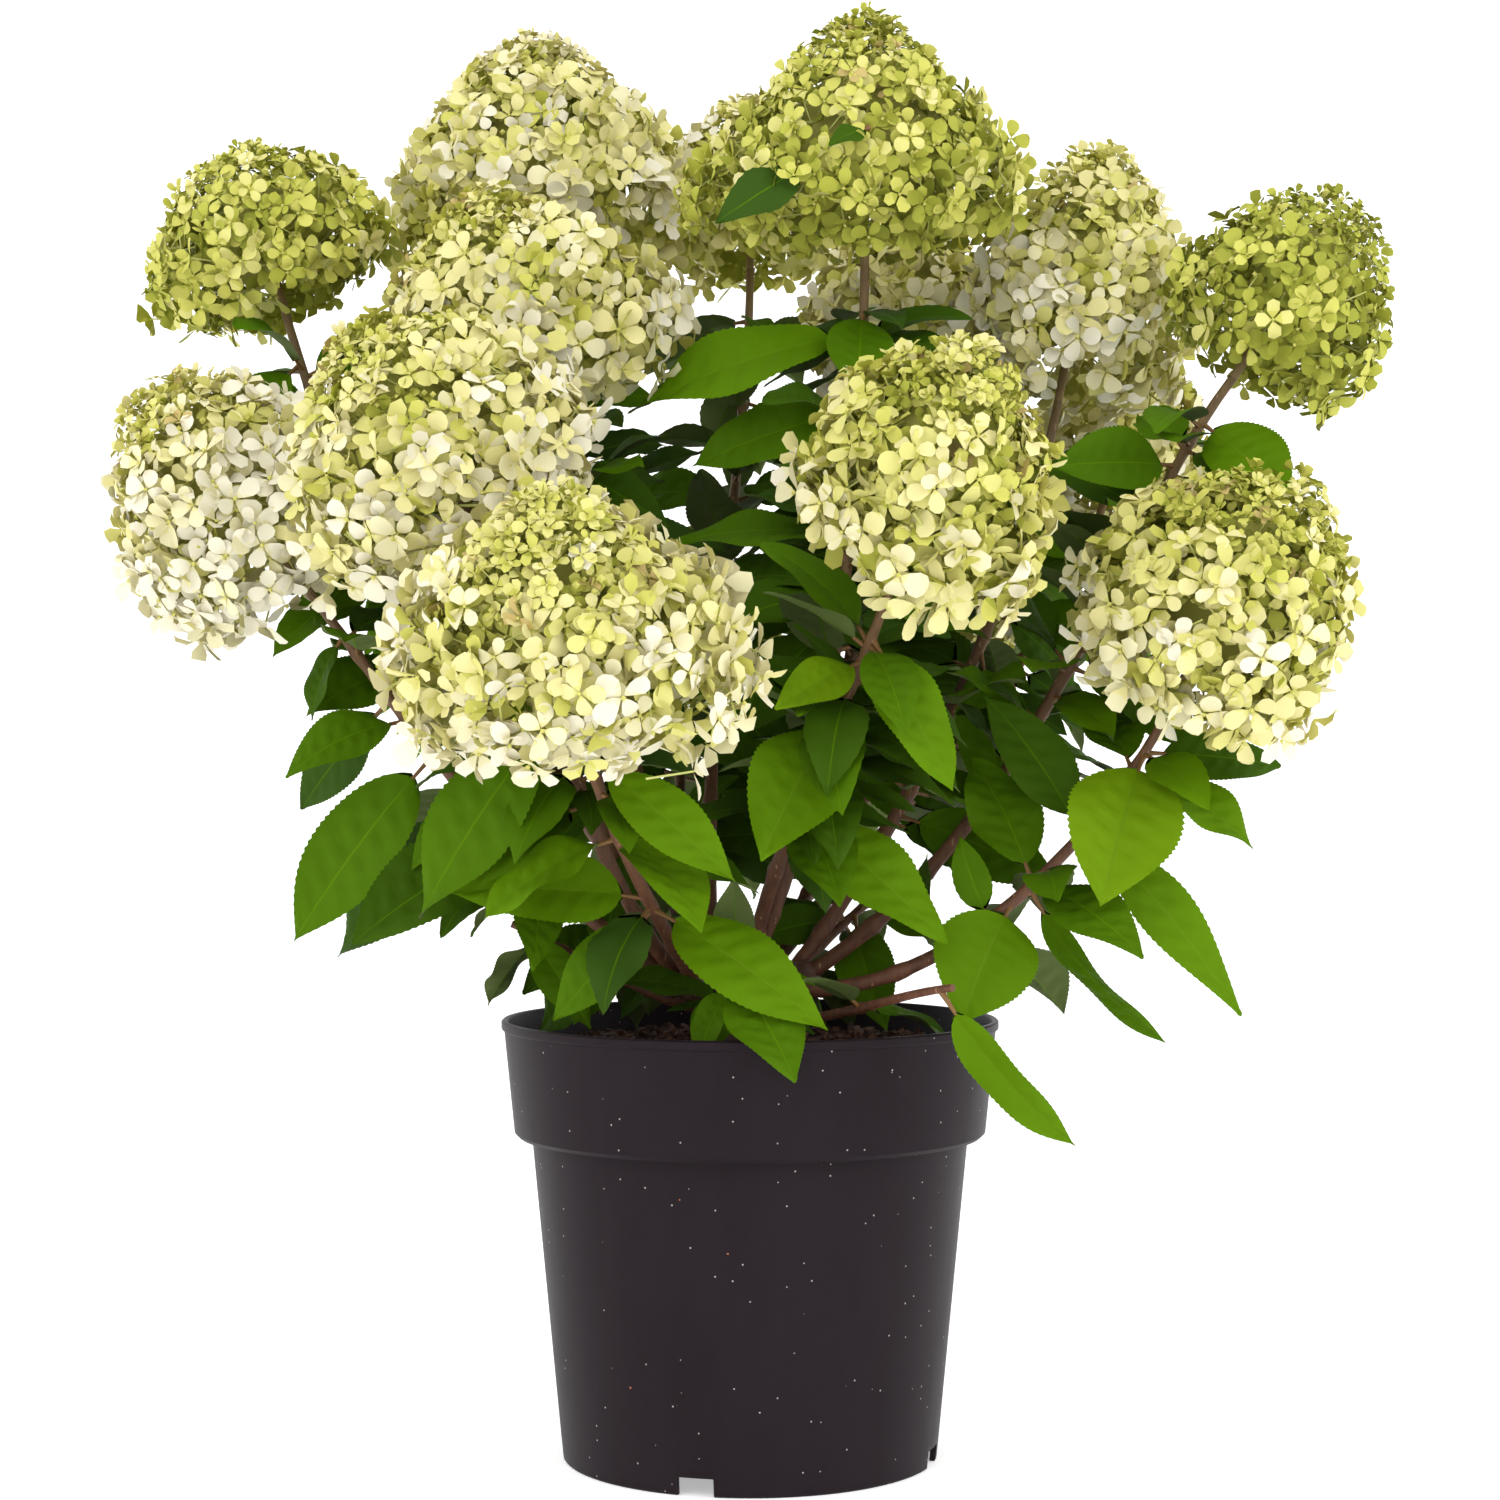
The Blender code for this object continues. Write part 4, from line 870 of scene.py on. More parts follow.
armLimbs = {name: armLimb(arm) for name, arm in arms.items()}
canes = [(shoot, caneLimb(shoot, armLimbs)) for shoot in shoots]
keepApart(canes)
lowLimbs = [lowLimb(low) for low in lowShoots]
allLimbs = [cane for _, cane in canes] + lowLimbs
woodPoints = [point for arm in armLimbs.values() for point in arm.points[::4]]
for limb in allLimbs:
    limb.stub = stubOf(limb, allLimbs, woodPoints)

# Each leafy mass: its limb, and where its leaves start and end
Mass = namedtuple("Mass", "limb start end shoot")
masses = {}
for number, (shoot, cane) in enumerate(canes, 1):
    headStart = cane.length - wood["peduncle"]
    leafyStart = cane.stub + (headStart - cane.stub) * shoot.bare
    masses[f"{number:02d}"] = Mass(cane, leafyStart + gap, headStart - gap, shoot)
for number, (low, limb) in enumerate(zip(lowShoots, lowLimbs), 1):
    masses[f"low_{number}"] = Mass(limb, limb.stub + gap, limb.length, low)
print("limbs worked out:", len(allLimbs))


# Leaves: where each grows
leaf = dict(
    longest=0.094, longestLow=0.072, nodeRoom=0.008, petiole=0.13, wide=0.46, fold=0.34, teeth=0.045,
    stations=28, fewStations=10, thick=0.00022, matchRoom=0.0022, fillLevels=3, fillShare=0.74, fillTries=5,
    boxRoom=0.004, roll=0.62, seenRoll=0.25, veins=7, quilt=0.0015, wave=0.0024, backFrom=0.17, slim=0.90,
)


def treeOf(obj):
    return BVHTree.FromPolygons([v.co for v in obj.data.vertices], [p.vertices for p in obj.data.polygons])


# The midrib's point at a share of the leaf, and the blade's normal there
def spine(root, chord, up, length, bend, share):
    angle = bend * (0.5 - share)
    ahead = (math.sin(bend / 2) - math.sin(angle)) / bend
    above = (math.cos(angle) - math.cos(bend / 2)) / bend
    return root + length * (ahead * chord + above * up), up * math.cos(angle) - chord * math.sin(angle)


def bladeUp(chord, facing):
    return (facing - chord * chord.dot(facing)).normalized()


def seenSites(mass, rows):
    for number, row in enumerate(rows):
        reach = max(row.share * mass.limb.length, mass.start + leaf["nodeRoom"])
        point = mass.limb.at(min(reach, mass.end - leaf["nodeRoom"]))[0]
        for toward, swing, size in seenTries:
            tip, turn = math.radians(row.toward + toward), math.radians(row.swing + swing)
            chord = Vector((math.cos(tip) * math.cos(turn), -math.sin(tip), math.cos(tip) * math.sin(turn)))
            facing = Quaternion(chord, math.radians(row.turn)) @ Vector((0, -0.8, 0.6))
            yield number, point, chord, facing, row.length * size, row.wide, math.radians(row.bend), row.tone


def ruledSites(mass, longest, draw):
    for level in range(mass.shoot.pairs):
        place = (level + 0.5) / mass.shoot.pairs
        point, along, _ = mass.limb.at(mass.start + (mass.end - mass.start) * place)
        side = along.cross(worldUp).normalized() if abs(along.z) < 0.99 else Vector((1, 0, 0))
        face = side.cross(along)
        size = longest * (1 - 0.30 * place) * draw.uniform(0.88, 1.08)
        for half in (0, 180):
            number = 2 * level + (half > 0)
            bend = math.radians(draw.uniform(20, 48))
            droop = draw.uniform(0.10, 0.60)
            for swing, sink, scale in ruledTries:
                angle = math.radians(mass.shoot.turn + 90 * level + half + swing)
                out = side * math.cos(angle) + face * math.sin(angle)
                chord = (out + 0.35 * along - (droop + sink) * worldUp).normalized()
                yield number, point, chord, worldUp + 0.8 * out, size * scale, leaf["wide"], bend, None


# The tried place of each leaf that the solids grew it at
def matching(sites, tree):
    found = {}
    for number, root, chord, facing, length, wide, bend, tone in sites:
        if number in found:
            continue
        up = bladeUp(chord, facing)
        spots = [spine(root, chord, up, length, bend, share)[0] for share in (0.34, 0.68, 1.0)]
        misses = [tree.find_nearest(spot)[3] for spot in spots]
        if max(misses) < leaf["matchRoom"]:
            found[number] = (root, chord, up, length, wide, bend, tone)
    return list(found.values())


leafPlaces = {}
for order, (key, mass) in enumerate(masses.items()):
    tree = treeOf(cadNodes[f"leaves_{key}"])
    longest = leaf["longestLow"] if key.startswith("low") else leaf["longest"]
    places = matching(seenSites(mass, seenLeaves.get(key, ())), tree)
    places += matching(ruledSites(mass, longest, random.Random(100 + order)), tree)
    leafPlaces[key] = places
print("leaves found in the solids:", sum(len(places) for places in leafPlaces.values()))


# Finer leaves between the pairs, where nothing is in their way
def coarseBlade(root, chord, up, length, bend):
    side = chord.cross(up).normalized()
    points = []
    for share, width in ((0.18, 0.3), (0.36, 1.0), (0.70, 0.8), (1.0, 0.0)):
        spot, normal = spine(root, chord, up, length, bend, share)
        half = width * length * leaf["wide"] / 2 + 0.001
        points += [spot + side * half, spot + normal * 0.0012, spot - side * half, spot - normal * 0.0012]
    faces = []
    for row in range(3):
        for i in range(4):
            a, b = 4 * row + i, 4 * row + (i + 1) % 4
            faces.append((a, b, b + 4, a + 4))
    return BVHTree.FromPolygons(points, faces)


# Small leaves that come out between the florets: cane, foot, tip, width beside the length, and tone
bractLeaves = (
    ("07", (0.027, -0.054, 0.617), (-0.014, -0.088, 0.582), 0.38, "leafCool"),
    ("07", (0.055, -0.066, 0.632), (0.036, -0.086, 0.620), 0.44, "leafDeep"),
)
solidTrees = [treeOf(node) for node in cadNodes.values()]
fillTrees = []
skyOpenings = [                                  # across, up and radius, as the camera sees them
    (-0.202, 0.354, 0.034), (-0.160, 0.317, 0.018), (-0.254, 0.399, 0.020), (-0.098, 0.234, 0.018),
    (-0.024, 0.431, 0.018), (0.117, 0.401, 0.018), (0.128, 0.177, 0.016), (0.140, 0.219, 0.018),
    (0.140, 0.300, 0.022), (0.174, 0.241, 0.035), (0.210, 0.276, 0.035), (0.233, 0.342, 0.020),
    (0.265, 0.367, 0.020),
]


# True where a leaf would stand before one of the openings that show sky
def hidesSky(foot, tip):
    for share in (0.35, 0.65, 0.95):
        spot = foot.lerp(tip, share)
        seen = cameraPlace + (spot - cameraPlace) * (-cameraPlace.y / (spot.y - cameraPlace.y))
        if any(math.hypot(seen.x - across, seen.z - up) < radius for across, up, radius in skyOpenings):
            return True
    return False


def fits(blade, tip, box):
    room = leaf["boxRoom"]
    inside = all(low - room <= place <= high + room for low, place, high in zip(box[0], tip, box[1]))
    return inside and not any(tree.overlap(blade) for tree in solidTrees + fillTrees)


fillPlaces = {}
for order, (key, mass) in enumerate(masses.items()):
    draw = random.Random(400 + order)
    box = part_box(f"leaves_{key}")
    longest = leaf["longestLow"] if key.startswith("low") else leaf["longest"]
    places = []
    levels = (1 if key.startswith("low") else leaf["fillLevels"]) * mass.shoot.pairs
    for level in range(levels):
        place = (level + 0.25) / levels
        point, along, _ = mass.limb.at(mass.start + (mass.end - mass.start) * place)
        side = along.cross(worldUp).normalized() if abs(along.z) < 0.99 else Vector((1, 0, 0))
        face = side.cross(along)
        for half in (0, 180):
            for _ in range(leaf["fillTries"]):
                angle = math.radians(mass.shoot.turn + 45 + 90 * level + half + draw.uniform(-35, 35))
                out = side * math.cos(angle) + face * math.sin(angle)
                chord = (out + 0.40 * along - draw.uniform(0.1, 1.1) * worldUp).normalized()
                length = longest * leaf["fillShare"] * draw.uniform(0.6, 1.1)
                bend = math.radians(draw.uniform(20, 50))
                up = bladeUp(chord, 0.7 * worldUp + out)
                tip = spine(point, chord, up, length, bend, 1.0)[0]
                blade = coarseBlade(point, chord, up, length, bend)
                if fits(blade, tip, box) and not hidesSky(point, tip):
                    fillTrees.append(blade)
                    places.append((point, chord, up, length, leaf["wide"], bend, None))
                    break
    fillPlaces[key] = places
for key, foot, tip, wide, tone in bractLeaves:
    chord = Vector(tip) - Vector(foot)
    length = chord.length
    chord.normalize()
    up = bladeUp(chord, Vector((0, -1, 0.5)))
    fillPlaces[key].append((Vector(foot), chord, up, length, wide, math.radians(20), tone))
print("finer leaves:", sum(len(places) for places in fillPlaces.values()))


# Leaves: one template of rows across the blade, its top and underside closed at a shared edge, a tooth a row
def leafTemplate(stations, columns):
    rows, index, triangles, slots = [], {}, [], []

    def spot(i, j, side):
        edge = i == 0 or abs(columns[j]) == 1 or i == stations
        key = (i, 0 if i == stations else j, 0 if edge else side)
        if key not in index:
            index[key] = len(rows)
            rows.append((i / stations, 0.0 if i == stations else columns[j], key[2], float(i % 1 > 0)))
        return index[key]

    for side in (1, -1):
        for i in range(stations):
            for j in range(len(columns) - 1):
                places = ((i, j + 1), (i + 1, j + 1), (i + 1, j), (i, j))
                ring = [spot(row, column, side) for row, column in places]
                if columns[j] == -1:
                    ring.insert(3, spot(i + 0.6, j, side))
                if columns[j + 1] == 1:
                    ring = ring[3:] + [ring[0], spot(i + 0.6, j + 1, side)] + ring[1:3]
                slot = veinSlot if columns[j] < 0 < columns[j + 1] else (0 if side > 0 else underSlot)
                corners = list(dict.fromkeys(ring))
                for k in range(1, len(corners) - 1):
                    triangles.append((corners[0], corners[k], corners[k + 1])[::side])
                    slots.append(slot)
    return np.array(rows), np.array(triangles), np.array(slots)


fineLeaf = leafTemplate(leaf["stations"], (-1, -0.64, -0.30, -0.024, 0.024, 0.30, 0.64, 1))
smallLeaf = leafTemplate(leaf["fewStations"], (-1, -0.5, -0.035, 0.035, 0.5, 1))


# Half-width along the blade, 1 at its widest: rounded at the base, drawn out at the tip
def outline(t):
    return (t + 0.002) ** 0.78 * np.maximum(1 - t, 0) ** 1.14 / 0.2704


# The template laid along one leaf's midrib, with fold, quilting, wave, twist and teeth
def leafArrays(template, place, draw, tone):
    root, chord, up, length, wide, bend, seenTone = place
    rows, triangles, slots = template
    t, v, side, tooth = rows.T
    petiole = leaf["petiole"]
    share = petiole + (1 - petiole) * t
    teeth = 1 + leaf["teeth"] * tooth * (t > 0.06)
    half = length * wide / 2 * leaf["slim"] * outline(t) * draw.uniform(0.92, 1.06) * teeth
    half = np.maximum(half, 0.0008 * (t < 0.999))
    across = v * half
    angle = bend * (0.5 - share)
    ahead = (math.sin(bend / 2) - np.sin(angle)) / bend * length
    above = (np.cos(angle) - math.cos(bend / 2)) / bend * length
    fold = leaf["fold"] * draw.uniform(0.6, 1.4)
    size = length / leaf["longest"]
    wave = draw.uniform(0.5, 1.4) * leaf["wave"] * size
    wave = wave * np.sin(math.tau * (draw.uniform(1.2, 2.1) * t + draw.random()))
    ribs = np.cos(math.tau * (leaf["veins"] * t - 1.3 * np.abs(v) ** 1.2))
    fade = (1 - np.abs(v)) * np.minimum(1, 4 * np.abs(v)) * np.minimum(1, 6 * t * (1 - t))
    lift = fold * np.abs(across) * (1 - 0.45 * np.abs(v)) + wave * v * v * np.sign(v + 0.1)
    lift -= leaf["quilt"] * size * ribs * fade
    rib = 0.00035 * (np.abs(v) < 0.1) * (1 - 0.7 * t)
    lift = lift + side * (leaf["thick"] + np.where(side < 0, rib, 0.4 * rib))
    sideAxis = chord.cross(up).normalized()
    facing = 1 if root.y < leaf["backFrom"] else -1
    roll = leaf["seenRoll"] if seenTone else leaf["roll"]
    twist = draw.uniform(-0.30, 0.30) * t + roll * sideAxis.y * facing
    sideways = across * np.cos(twist) - lift * np.sin(twist)
    lift = across * np.sin(twist) + lift * np.cos(twist)
    swerve = draw.uniform(-0.06, 0.06) * length * t * t
    normals = np.outer(np.cos(angle), up) - np.outer(np.sin(angle), chord)
    points = (
        np.array(root) + np.outer(ahead, chord) + np.outer(above, up)
        + np.outer(sideways + swerve, sideAxis) + normals * lift[:, None]
    )
    slots = np.where(slots == veinSlot, veinSlots[tone], np.where(slots == 0, leafToneSlot[tone], slots))
    if tone == "leafTurned":
        slots = np.full(len(slots), leafToneSlot[tone])
    return points, triangles, slots


# A closed tube through points, each with a radius, without twist
def tubeArrays(points, radii, sides, slot=0, roughen=None):
    points = [Vector(point) for point in points]
    rings = []
    along = (points[1] - points[0]).normalized()
    normal = along.orthogonal().normalized()
    for i, point in enumerate(points):
        before, after = points[max(i - 1, 0)], points[min(i + 1, len(points) - 1)]
        heading = (after - before).normalized()
        normal = (normal - heading * normal.dot(heading)).normalized()
        across = heading.cross(normal)
        for k in range(sides):
            turn = math.tau * k / sides
            out = normal * math.cos(turn) + across * math.sin(turn)
            radius = radii[i] * (roughen(point + out * radii[i]) if roughen else 1)
            rings.append(point + out * radius)
    rings += [points[0], points[-1]]
    triangles = []
    last = len(points) - 1
    foot, tip = len(rings) - 2, len(rings) - 1
    for i in range(last):
        for k in range(sides):
            a, b = i * sides + k, i * sides + (k + 1) % sides
            triangles += [(a, b, b + sides), (a, b + sides, a + sides)]
    for k in range(sides):
        triangles.append((foot, (k + 1) % sides, k))
        triangles.append((tip, last * sides + k, last * sides + (k + 1) % sides))
    return np.array([point[:] for point in rings]), np.array(triangles), np.full(len(triangles), slot)


def petioleArrays(place):
    root, chord, up, length, _, bend, _ = place
    shares = [0.0, 0.04, 0.08, leaf["petiole"] + 0.015]
    points = [spine(root, chord, up, length, bend, share)[0] for share in shares]
    return tubeArrays(points, [0.0019, 0.0014, 0.0011, 0.0009], 6, stalkSlot)


# Weights of the painted light and shade dealt into leaf tones by where each leaf stands
leafPaintedLight = dict(
    outward=4.5, forward=1.2, upward=0.8, spread=0.22, bright=1.05, mid=0.62, young=0.12, deep=0.6,
)


# Painted light and shade: leaves on the outside, in front and above get brighter tones, as if lit, and leaves
# deeper inside the plant get darker tones, as painted shade
def toneOf(place, draw):
    root, chord, _, length, _, _, tone = place
    if tone:
        return tone
    middle = root + chord * length * 0.5
    # How much light the leaf would catch, painted into its tone
    light = leafPaintedLight["outward"] * math.hypot(middle.x, middle.y) - leafPaintedLight["forward"] * min(middle.y, 0.12)
    light += leafPaintedLight["upward"] * (middle.z - 0.35) + draw.gauss(0, leafPaintedLight["spread"])
    if light > leafPaintedLight["bright"]:
        return "leafYoung" if draw.random() < leafPaintedLight["young"] else "leafBright"
    if light > leafPaintedLight["mid"]:
        return "leafMid"
    return "leafDeep" if draw.random() < leafPaintedLight["deep"] else "leafCool"


foliageGroups = {
    "foliageLeft": ("01", "02", "03", "04", "05", "06"),
    "foliageRight": ("07", "08", "09", "10", "11", "13"),
    "foliageBack": ("12", "14", "15", "16", "17", "low_1", "low_2", "low_3", "low_4", "low_5"),
}
for name, keys in foliageGroups.items():
    heap = []
    draw = random.Random(name)
    for key in keys:
        for places, template in ((leafPlaces[key], fineLeaf), (fillPlaces[key], smallLeaf)):
            for place in places:
                heap.append(leafArrays(template, place, draw, toneOf(place, draw)))
                heap.append(petioleArrays(place))
    piece = heapMesh(name, heap, foliageMaterials)
    handOver(piece, "leaves", *[f"leaves_{key}" for key in keys])
print("leaves made")


# Canes with thickened nodes, and the leafy stems above them
caneLook = dict(spacing=0.004, sides=12, swell=0.28, swellLength=0.0036, ridge=0.07, node=0.038)


def caneArrays(limb, nodes):
    count = max(int(limb.length / caneLook["spacing"]), 4)
    points, radii = [], []
    for i in range(count + 1):
        distance = limb.length * i / count
        point, _, radius = limb.at(distance)
        bump = sum(math.exp(-((distance - node) / caneLook["swellLength"]) ** 2) for node in nodes)
        points.append(point)
        radii.append(radius * (1 + caneLook["swell"] * min(bump, 1)))

    def roughen(spot):
        return 1 + caneLook["ridge"] * noise.noise(Vector((spot.x * 420, spot.y * 420, spot.z * 90)))

    return tubeArrays(points, radii, caneLook["sides"], 0, roughen)


heap = []
for mass in masses.values():
    pairs = mass.shoot.pairs
    nodes = [mass.start + (mass.end - mass.start) * (level + 0.5) / pairs for level in range(pairs)]
    spot = mass.start - caneLook["node"] * 0.6
    while spot > 0.02:
        nodes.append(spot)
        spot -= caneLook["node"]
    heap.append(caneArrays(mass.limb, nodes))
canePiece = heapMesh("canes", heap, [caneBark])
handOver(canePiece, "cane_bark", *[f"bough_{number:02d}" for number in range(1, len(shoots) + 1)])


stoolLook = dict(armBlobs=9, knobBlobs=3, nudge=0.0022, voxel=0.0011, smoothing=4, grain=0.0007)


def blobAt(place, radius):
    bpy.ops.mesh.primitive_uv_sphere_add(segments=16, ring_count=10, radius=radius, location=place)
    return bpy.context.active_object


# The stool: trunk, arms and knobs, melted into one body
def makeStool():
    blobs = []
    bottom = stoolPoint(0) + Vector((0, 0, gap))
    bpy.ops.mesh.primitive_cone_add(
        vertices=32, radius1=wood["trunkFoot"], radius2=wood["trunkTop"], depth=wood["trunkHeight"],
        location=bottom + Vector((0, 0, wood["trunkHeight"] / 2)))
    blobs.append(bpy.context.active_object)
    draw = random.Random(8)
    for arm in armLimbs.values():
        for share in np.linspace(0.1, 1.0, stoolLook["armBlobs"]):
            point, _, radius = arm.at(share * arm.length)
            blobs.append(blobAt(point, radius * draw.uniform(0.95, 1.12)))
        for _ in range(stoolLook["knobBlobs"]):
            nudge = scatter(draw) * stoolLook["nudge"]
            blobs.append(blobAt(arm.points[-1] + nudge, wood["knob"] * draw.uniform(0.6, 0.92)))
    activate(blobs[0])
    for blob in blobs:
        blob.select_set(True)
    bpy.ops.object.join()
    made = bpy.context.active_object
    made.name = made.data.name = "stoolWood"
    settle(made)
    applied(made, "REMESH", mode="VOXEL", voxel_size=stoolLook["voxel"])
    applied(made, "SMOOTH", factor=0.6, iterations=stoolLook["smoothing"])
    for vert in made.data.vertices:
        grain = noise.fractal(Vector((vert.co.x * 300, vert.co.y * 300, vert.co.z * 120)), 0.7, 2.0, 3)
        vert.co += vert.normal * grain * stoolLook["grain"]
    for vert in made.data.vertices:
        vert.co.z = max(vert.co.z, bottom.z)
    made.data.shade_smooth()
    made.data.materials.append(stoolBark)
    print("   stoolWood", len(made.data.polygons), "faces")
    return handOver(made, "stool", "stool")


makeStool()
print("canes and stool made")


# Flower heads
head = dict(
    coreShare=0.62, spacing=1.50e-4, limeSpacing=1.25e-4, innerShare=0.42, sepal=0.0104, lump=0.08,
    templates=16, branches=26, buds=200, crown=0.80, clusters=3.6, clusterDepth=0.18, flyers=0.06,
    reach=0.945, jitter=0.08, tilt=0.48, size=1.04, limeSize=0.82, frontDepth=0.25, frontHeads=11,
)
fineSepal = ((0.0, 0.0), (0.22, 0.25), (0.52, 0.47), (0.78, 0.46), (0.95, 0.26), (1.0, 0.0))
plainSepal = ((0.0, 0.0), (0.40, 0.42), (0.82, 0.42), (1.0, 0.0))
ripeness = {                                     # at the foot and the top of each head, from green to white
    1: (-0.16, -0.12), 2: (0.26, 0.24), 3: (0.38, 0.08), 4: (0.50, 0.02), 5: (0.74, 0.20), 6: (0.60, -0.02),
    7: (-0.26, -0.08), 8: (0.42, 0.12), 9: (-0.36, -0.48), 10: (0.30, -0.06), 11: (0.40, -0.12),
    12: (0.10, 0.30), 13: (0.40, 0.05), 14: (0.42, 0.0), 15: (0.62, 0.05), 16: (-0.10, -0.28),
    17: (0.42, 0.0),
}
looseHeads = {6: 0.24, 10: 0.40, 11: 0.40}       # share of outer florets missing low in these heads


# One sepal as a closed lens: a base point, rows of edge and middle, and a tip
def sepalArrays(sepalRows, length, width, tilt, cup, curl, turn, lift):
    points, index = [], {}

    def spot(i, j, side):
        shareUp, shareWide = sepalRows[i]
        edge = i in (0, len(sepalRows) - 1) or j != 0
        key = (i, 0 if i in (0, len(sepalRows) - 1) else j, 0 if edge else side)
        if key not in index:
            index[key] = len(points)
            across = j * shareWide * width
            rise = lift + cup * (2 * abs(across) / width) ** 2 * length * 0.5 if width else lift
            angle = tilt + curl * shareUp
            forward = length * (shareUp * math.cos(angle)) + 0.0006
            height = length * shareUp * math.sin(angle) + rise + key[2] * 0.00016
            points.append((forward, across, height))
        return index[key]

    triangles = []
    last = len(sepalRows) - 1
    for side in (1, -1):
        for i in range(last):
            for j in (-1, 0):
                places = ((i, j), (i + 1, j), (i + 1, j + 1), (i, j + 1))
                corners = list(dict.fromkeys(spot(row, column, side) for row, column in places))
                if side < 0:
                    corners.reverse()
                for k in range(1, len(corners) - 1):
                    triangles.append((corners[0], corners[k], corners[k + 1]))
    points, triangles = np.array(points), np.array(triangles)
    atBase = points[triangles][:, :, 0].mean(axis=1) < 0.3 * length
    # The whole underside takes the greener tone as well, as painted shade
    atBase[len(triangles) // 2:] = True
    cos, sin = math.cos(turn), math.sin(turn)
    spin = np.array(((cos, -sin, 0), (sin, cos, 0), (0, 0, 1)))
    return points @ spin.T, triangles, atBase


def budArrays(radius, height):
    points = np.array([(0, 0, 1), (1, 0, 0), (0, 1, 0), (-1, 0, 0), (0, -1, 0), (0, 0, -1)]) * radius
    triangles = np.array([(0, 1, 2), (0, 2, 3), (0, 3, 4), (0, 4, 1),
                          (5, 2, 1), (5, 3, 2), (5, 4, 3), (5, 1, 4)])
    return points + np.array((0, 0, height)), triangles


# Four sepals round a bud on a pedicel. Until tones are dealt a slot is -1, or -2 at the base and beneath,
# which take a greener tone: the sepal's own green at the base, painted shade beneath
def floretTemplate(draw, opened, sepalRows):
    heap = []
    start = draw.uniform(0, math.tau)
    for number in range(4):
        length = head["sepal"] * draw.uniform(0.74, 1.14)
        tilt = math.radians(draw.uniform(-6, 34) + 42 * (1 - opened))
        width = length * draw.uniform(0.66, 0.88)
        cup, curl = draw.uniform(0.05, 0.42), draw.uniform(-0.80, 0.25)
        turn = start + number * math.pi / 2 + draw.uniform(-0.22, 0.22)
        lift = 0.0005 * (number % 2)
        sepal, faces, atBase = sepalArrays(sepalRows, length, width, tilt, cup, curl, turn, lift)
        heap.append((sepal, faces, np.where(atBase, -2, -1)))
    bud, faces = budArrays(0.0011, 0.0012)
    heap.append((bud, faces, np.full(len(faces), budSlot)))
    if sepalRows is fineSepal:
        lean = Vector((draw.gauss(0, 0.0025), draw.gauss(0, 0.0025), -0.016))
        heap.append(tubeArrays([Vector((0, 0, 0.0004)), lean], [0.00045, 0.0005], 3, pedicelSlot))
    return joined(heap)


templateDraw = random.Random(21)
openFlorets = [floretTemplate(templateDraw, 1.0, fineSepal) for _ in range(head["templates"])]
halfFlorets = [floretTemplate(templateDraw, 0.45, plainSepal) for _ in range(head["templates"])]
plainFlorets = [floretTemplate(templateDraw, 0.9, plainSepal) for _ in range(head["templates"])]


# Where a ray from inside the head leaves it, as in the solids
def headPoint(shoot, direction, share, number):
    direction = direction.normalized()
    way = worldUp.rotation_difference(headAxis(shoot)) @ direction
    along = 0.5 + 0.5 * direction.z
    level = math.sqrt(max(0.0, 1 - direction.z**2))
    belly = 1 + shoot.taper * (0.42 - along)
    lump = 1 + head["lump"] * noise.noise(direction * 1.7 + Vector((number, 0, 0)))
    for bulge in bulges.get(number, ()):
        apart = math.degrees(way.angle(Vector(bulge.way))) / bulge.spread
        lump += bulge.amount * math.exp(-apart * apart)
    flat = 0.86 if direction.z < 0 else 1.0
    radius = shoot.width / 2 * level * belly * share * lump
    height = shoot.length / 2 * direction.z * flat * share * lump
    side = Vector((direction.x, direction.y, 0))
    side = side.normalized() * radius if side.length > 0 else side
    return Vector((side.x, side.y, height))


toneLimits = (0.50, 0.34, 0.18, 0.0, -0.22, -0.46)      # ripeness above which each petal tone is dealt


# Petal tone by the head's ripeness and how high in the head the floret stands, 0 to 1, moved by a shift that
# paints shade deep in the head as a greener tone
def dealtTone(number, height, shift, draw):
    foot, top = ripeness[number]
    # shift carries painted shade: greener tones for florets deep in the head, whiter for raised ones
    ripe = foot + (top - foot) * height ** 1.4 + draw.gauss(0, 0.13) - shift
    if height > 0.65 and ripe < 0.4 and draw.random() < 0.03:
        return "petalTan"
    for name, least in zip(petalTones, toneLimits):
        if ripe > least:
            return name
    return "petalMoss"


# Evenly spread directions over a ball
def spiralDirections(count):
    golden = math.pi * (3 - math.sqrt(5))
    for i in range(count):
        z = 1 - 2 * (i + 0.5) / count
        level = math.sqrt(1 - z * z)
        yield Vector((level * math.cos(golden * i), level * math.sin(golden * i), z))


def placeFloret(heap, template, spot, outward, scale, spin, tone):
    turn = (worldUp.rotation_difference(outward) @ Quaternion(worldUp, spin)).to_matrix()
    points, faces, slots = template
    slots = np.where(slots == -1, petalToneSlot[tone], slots)
    slots = np.where(slots == -2, petalToneSlot[greenerTone[tone]], slots)
    heap.append((points * scale @ np.array(turn).T + np.array(spot), faces, slots))


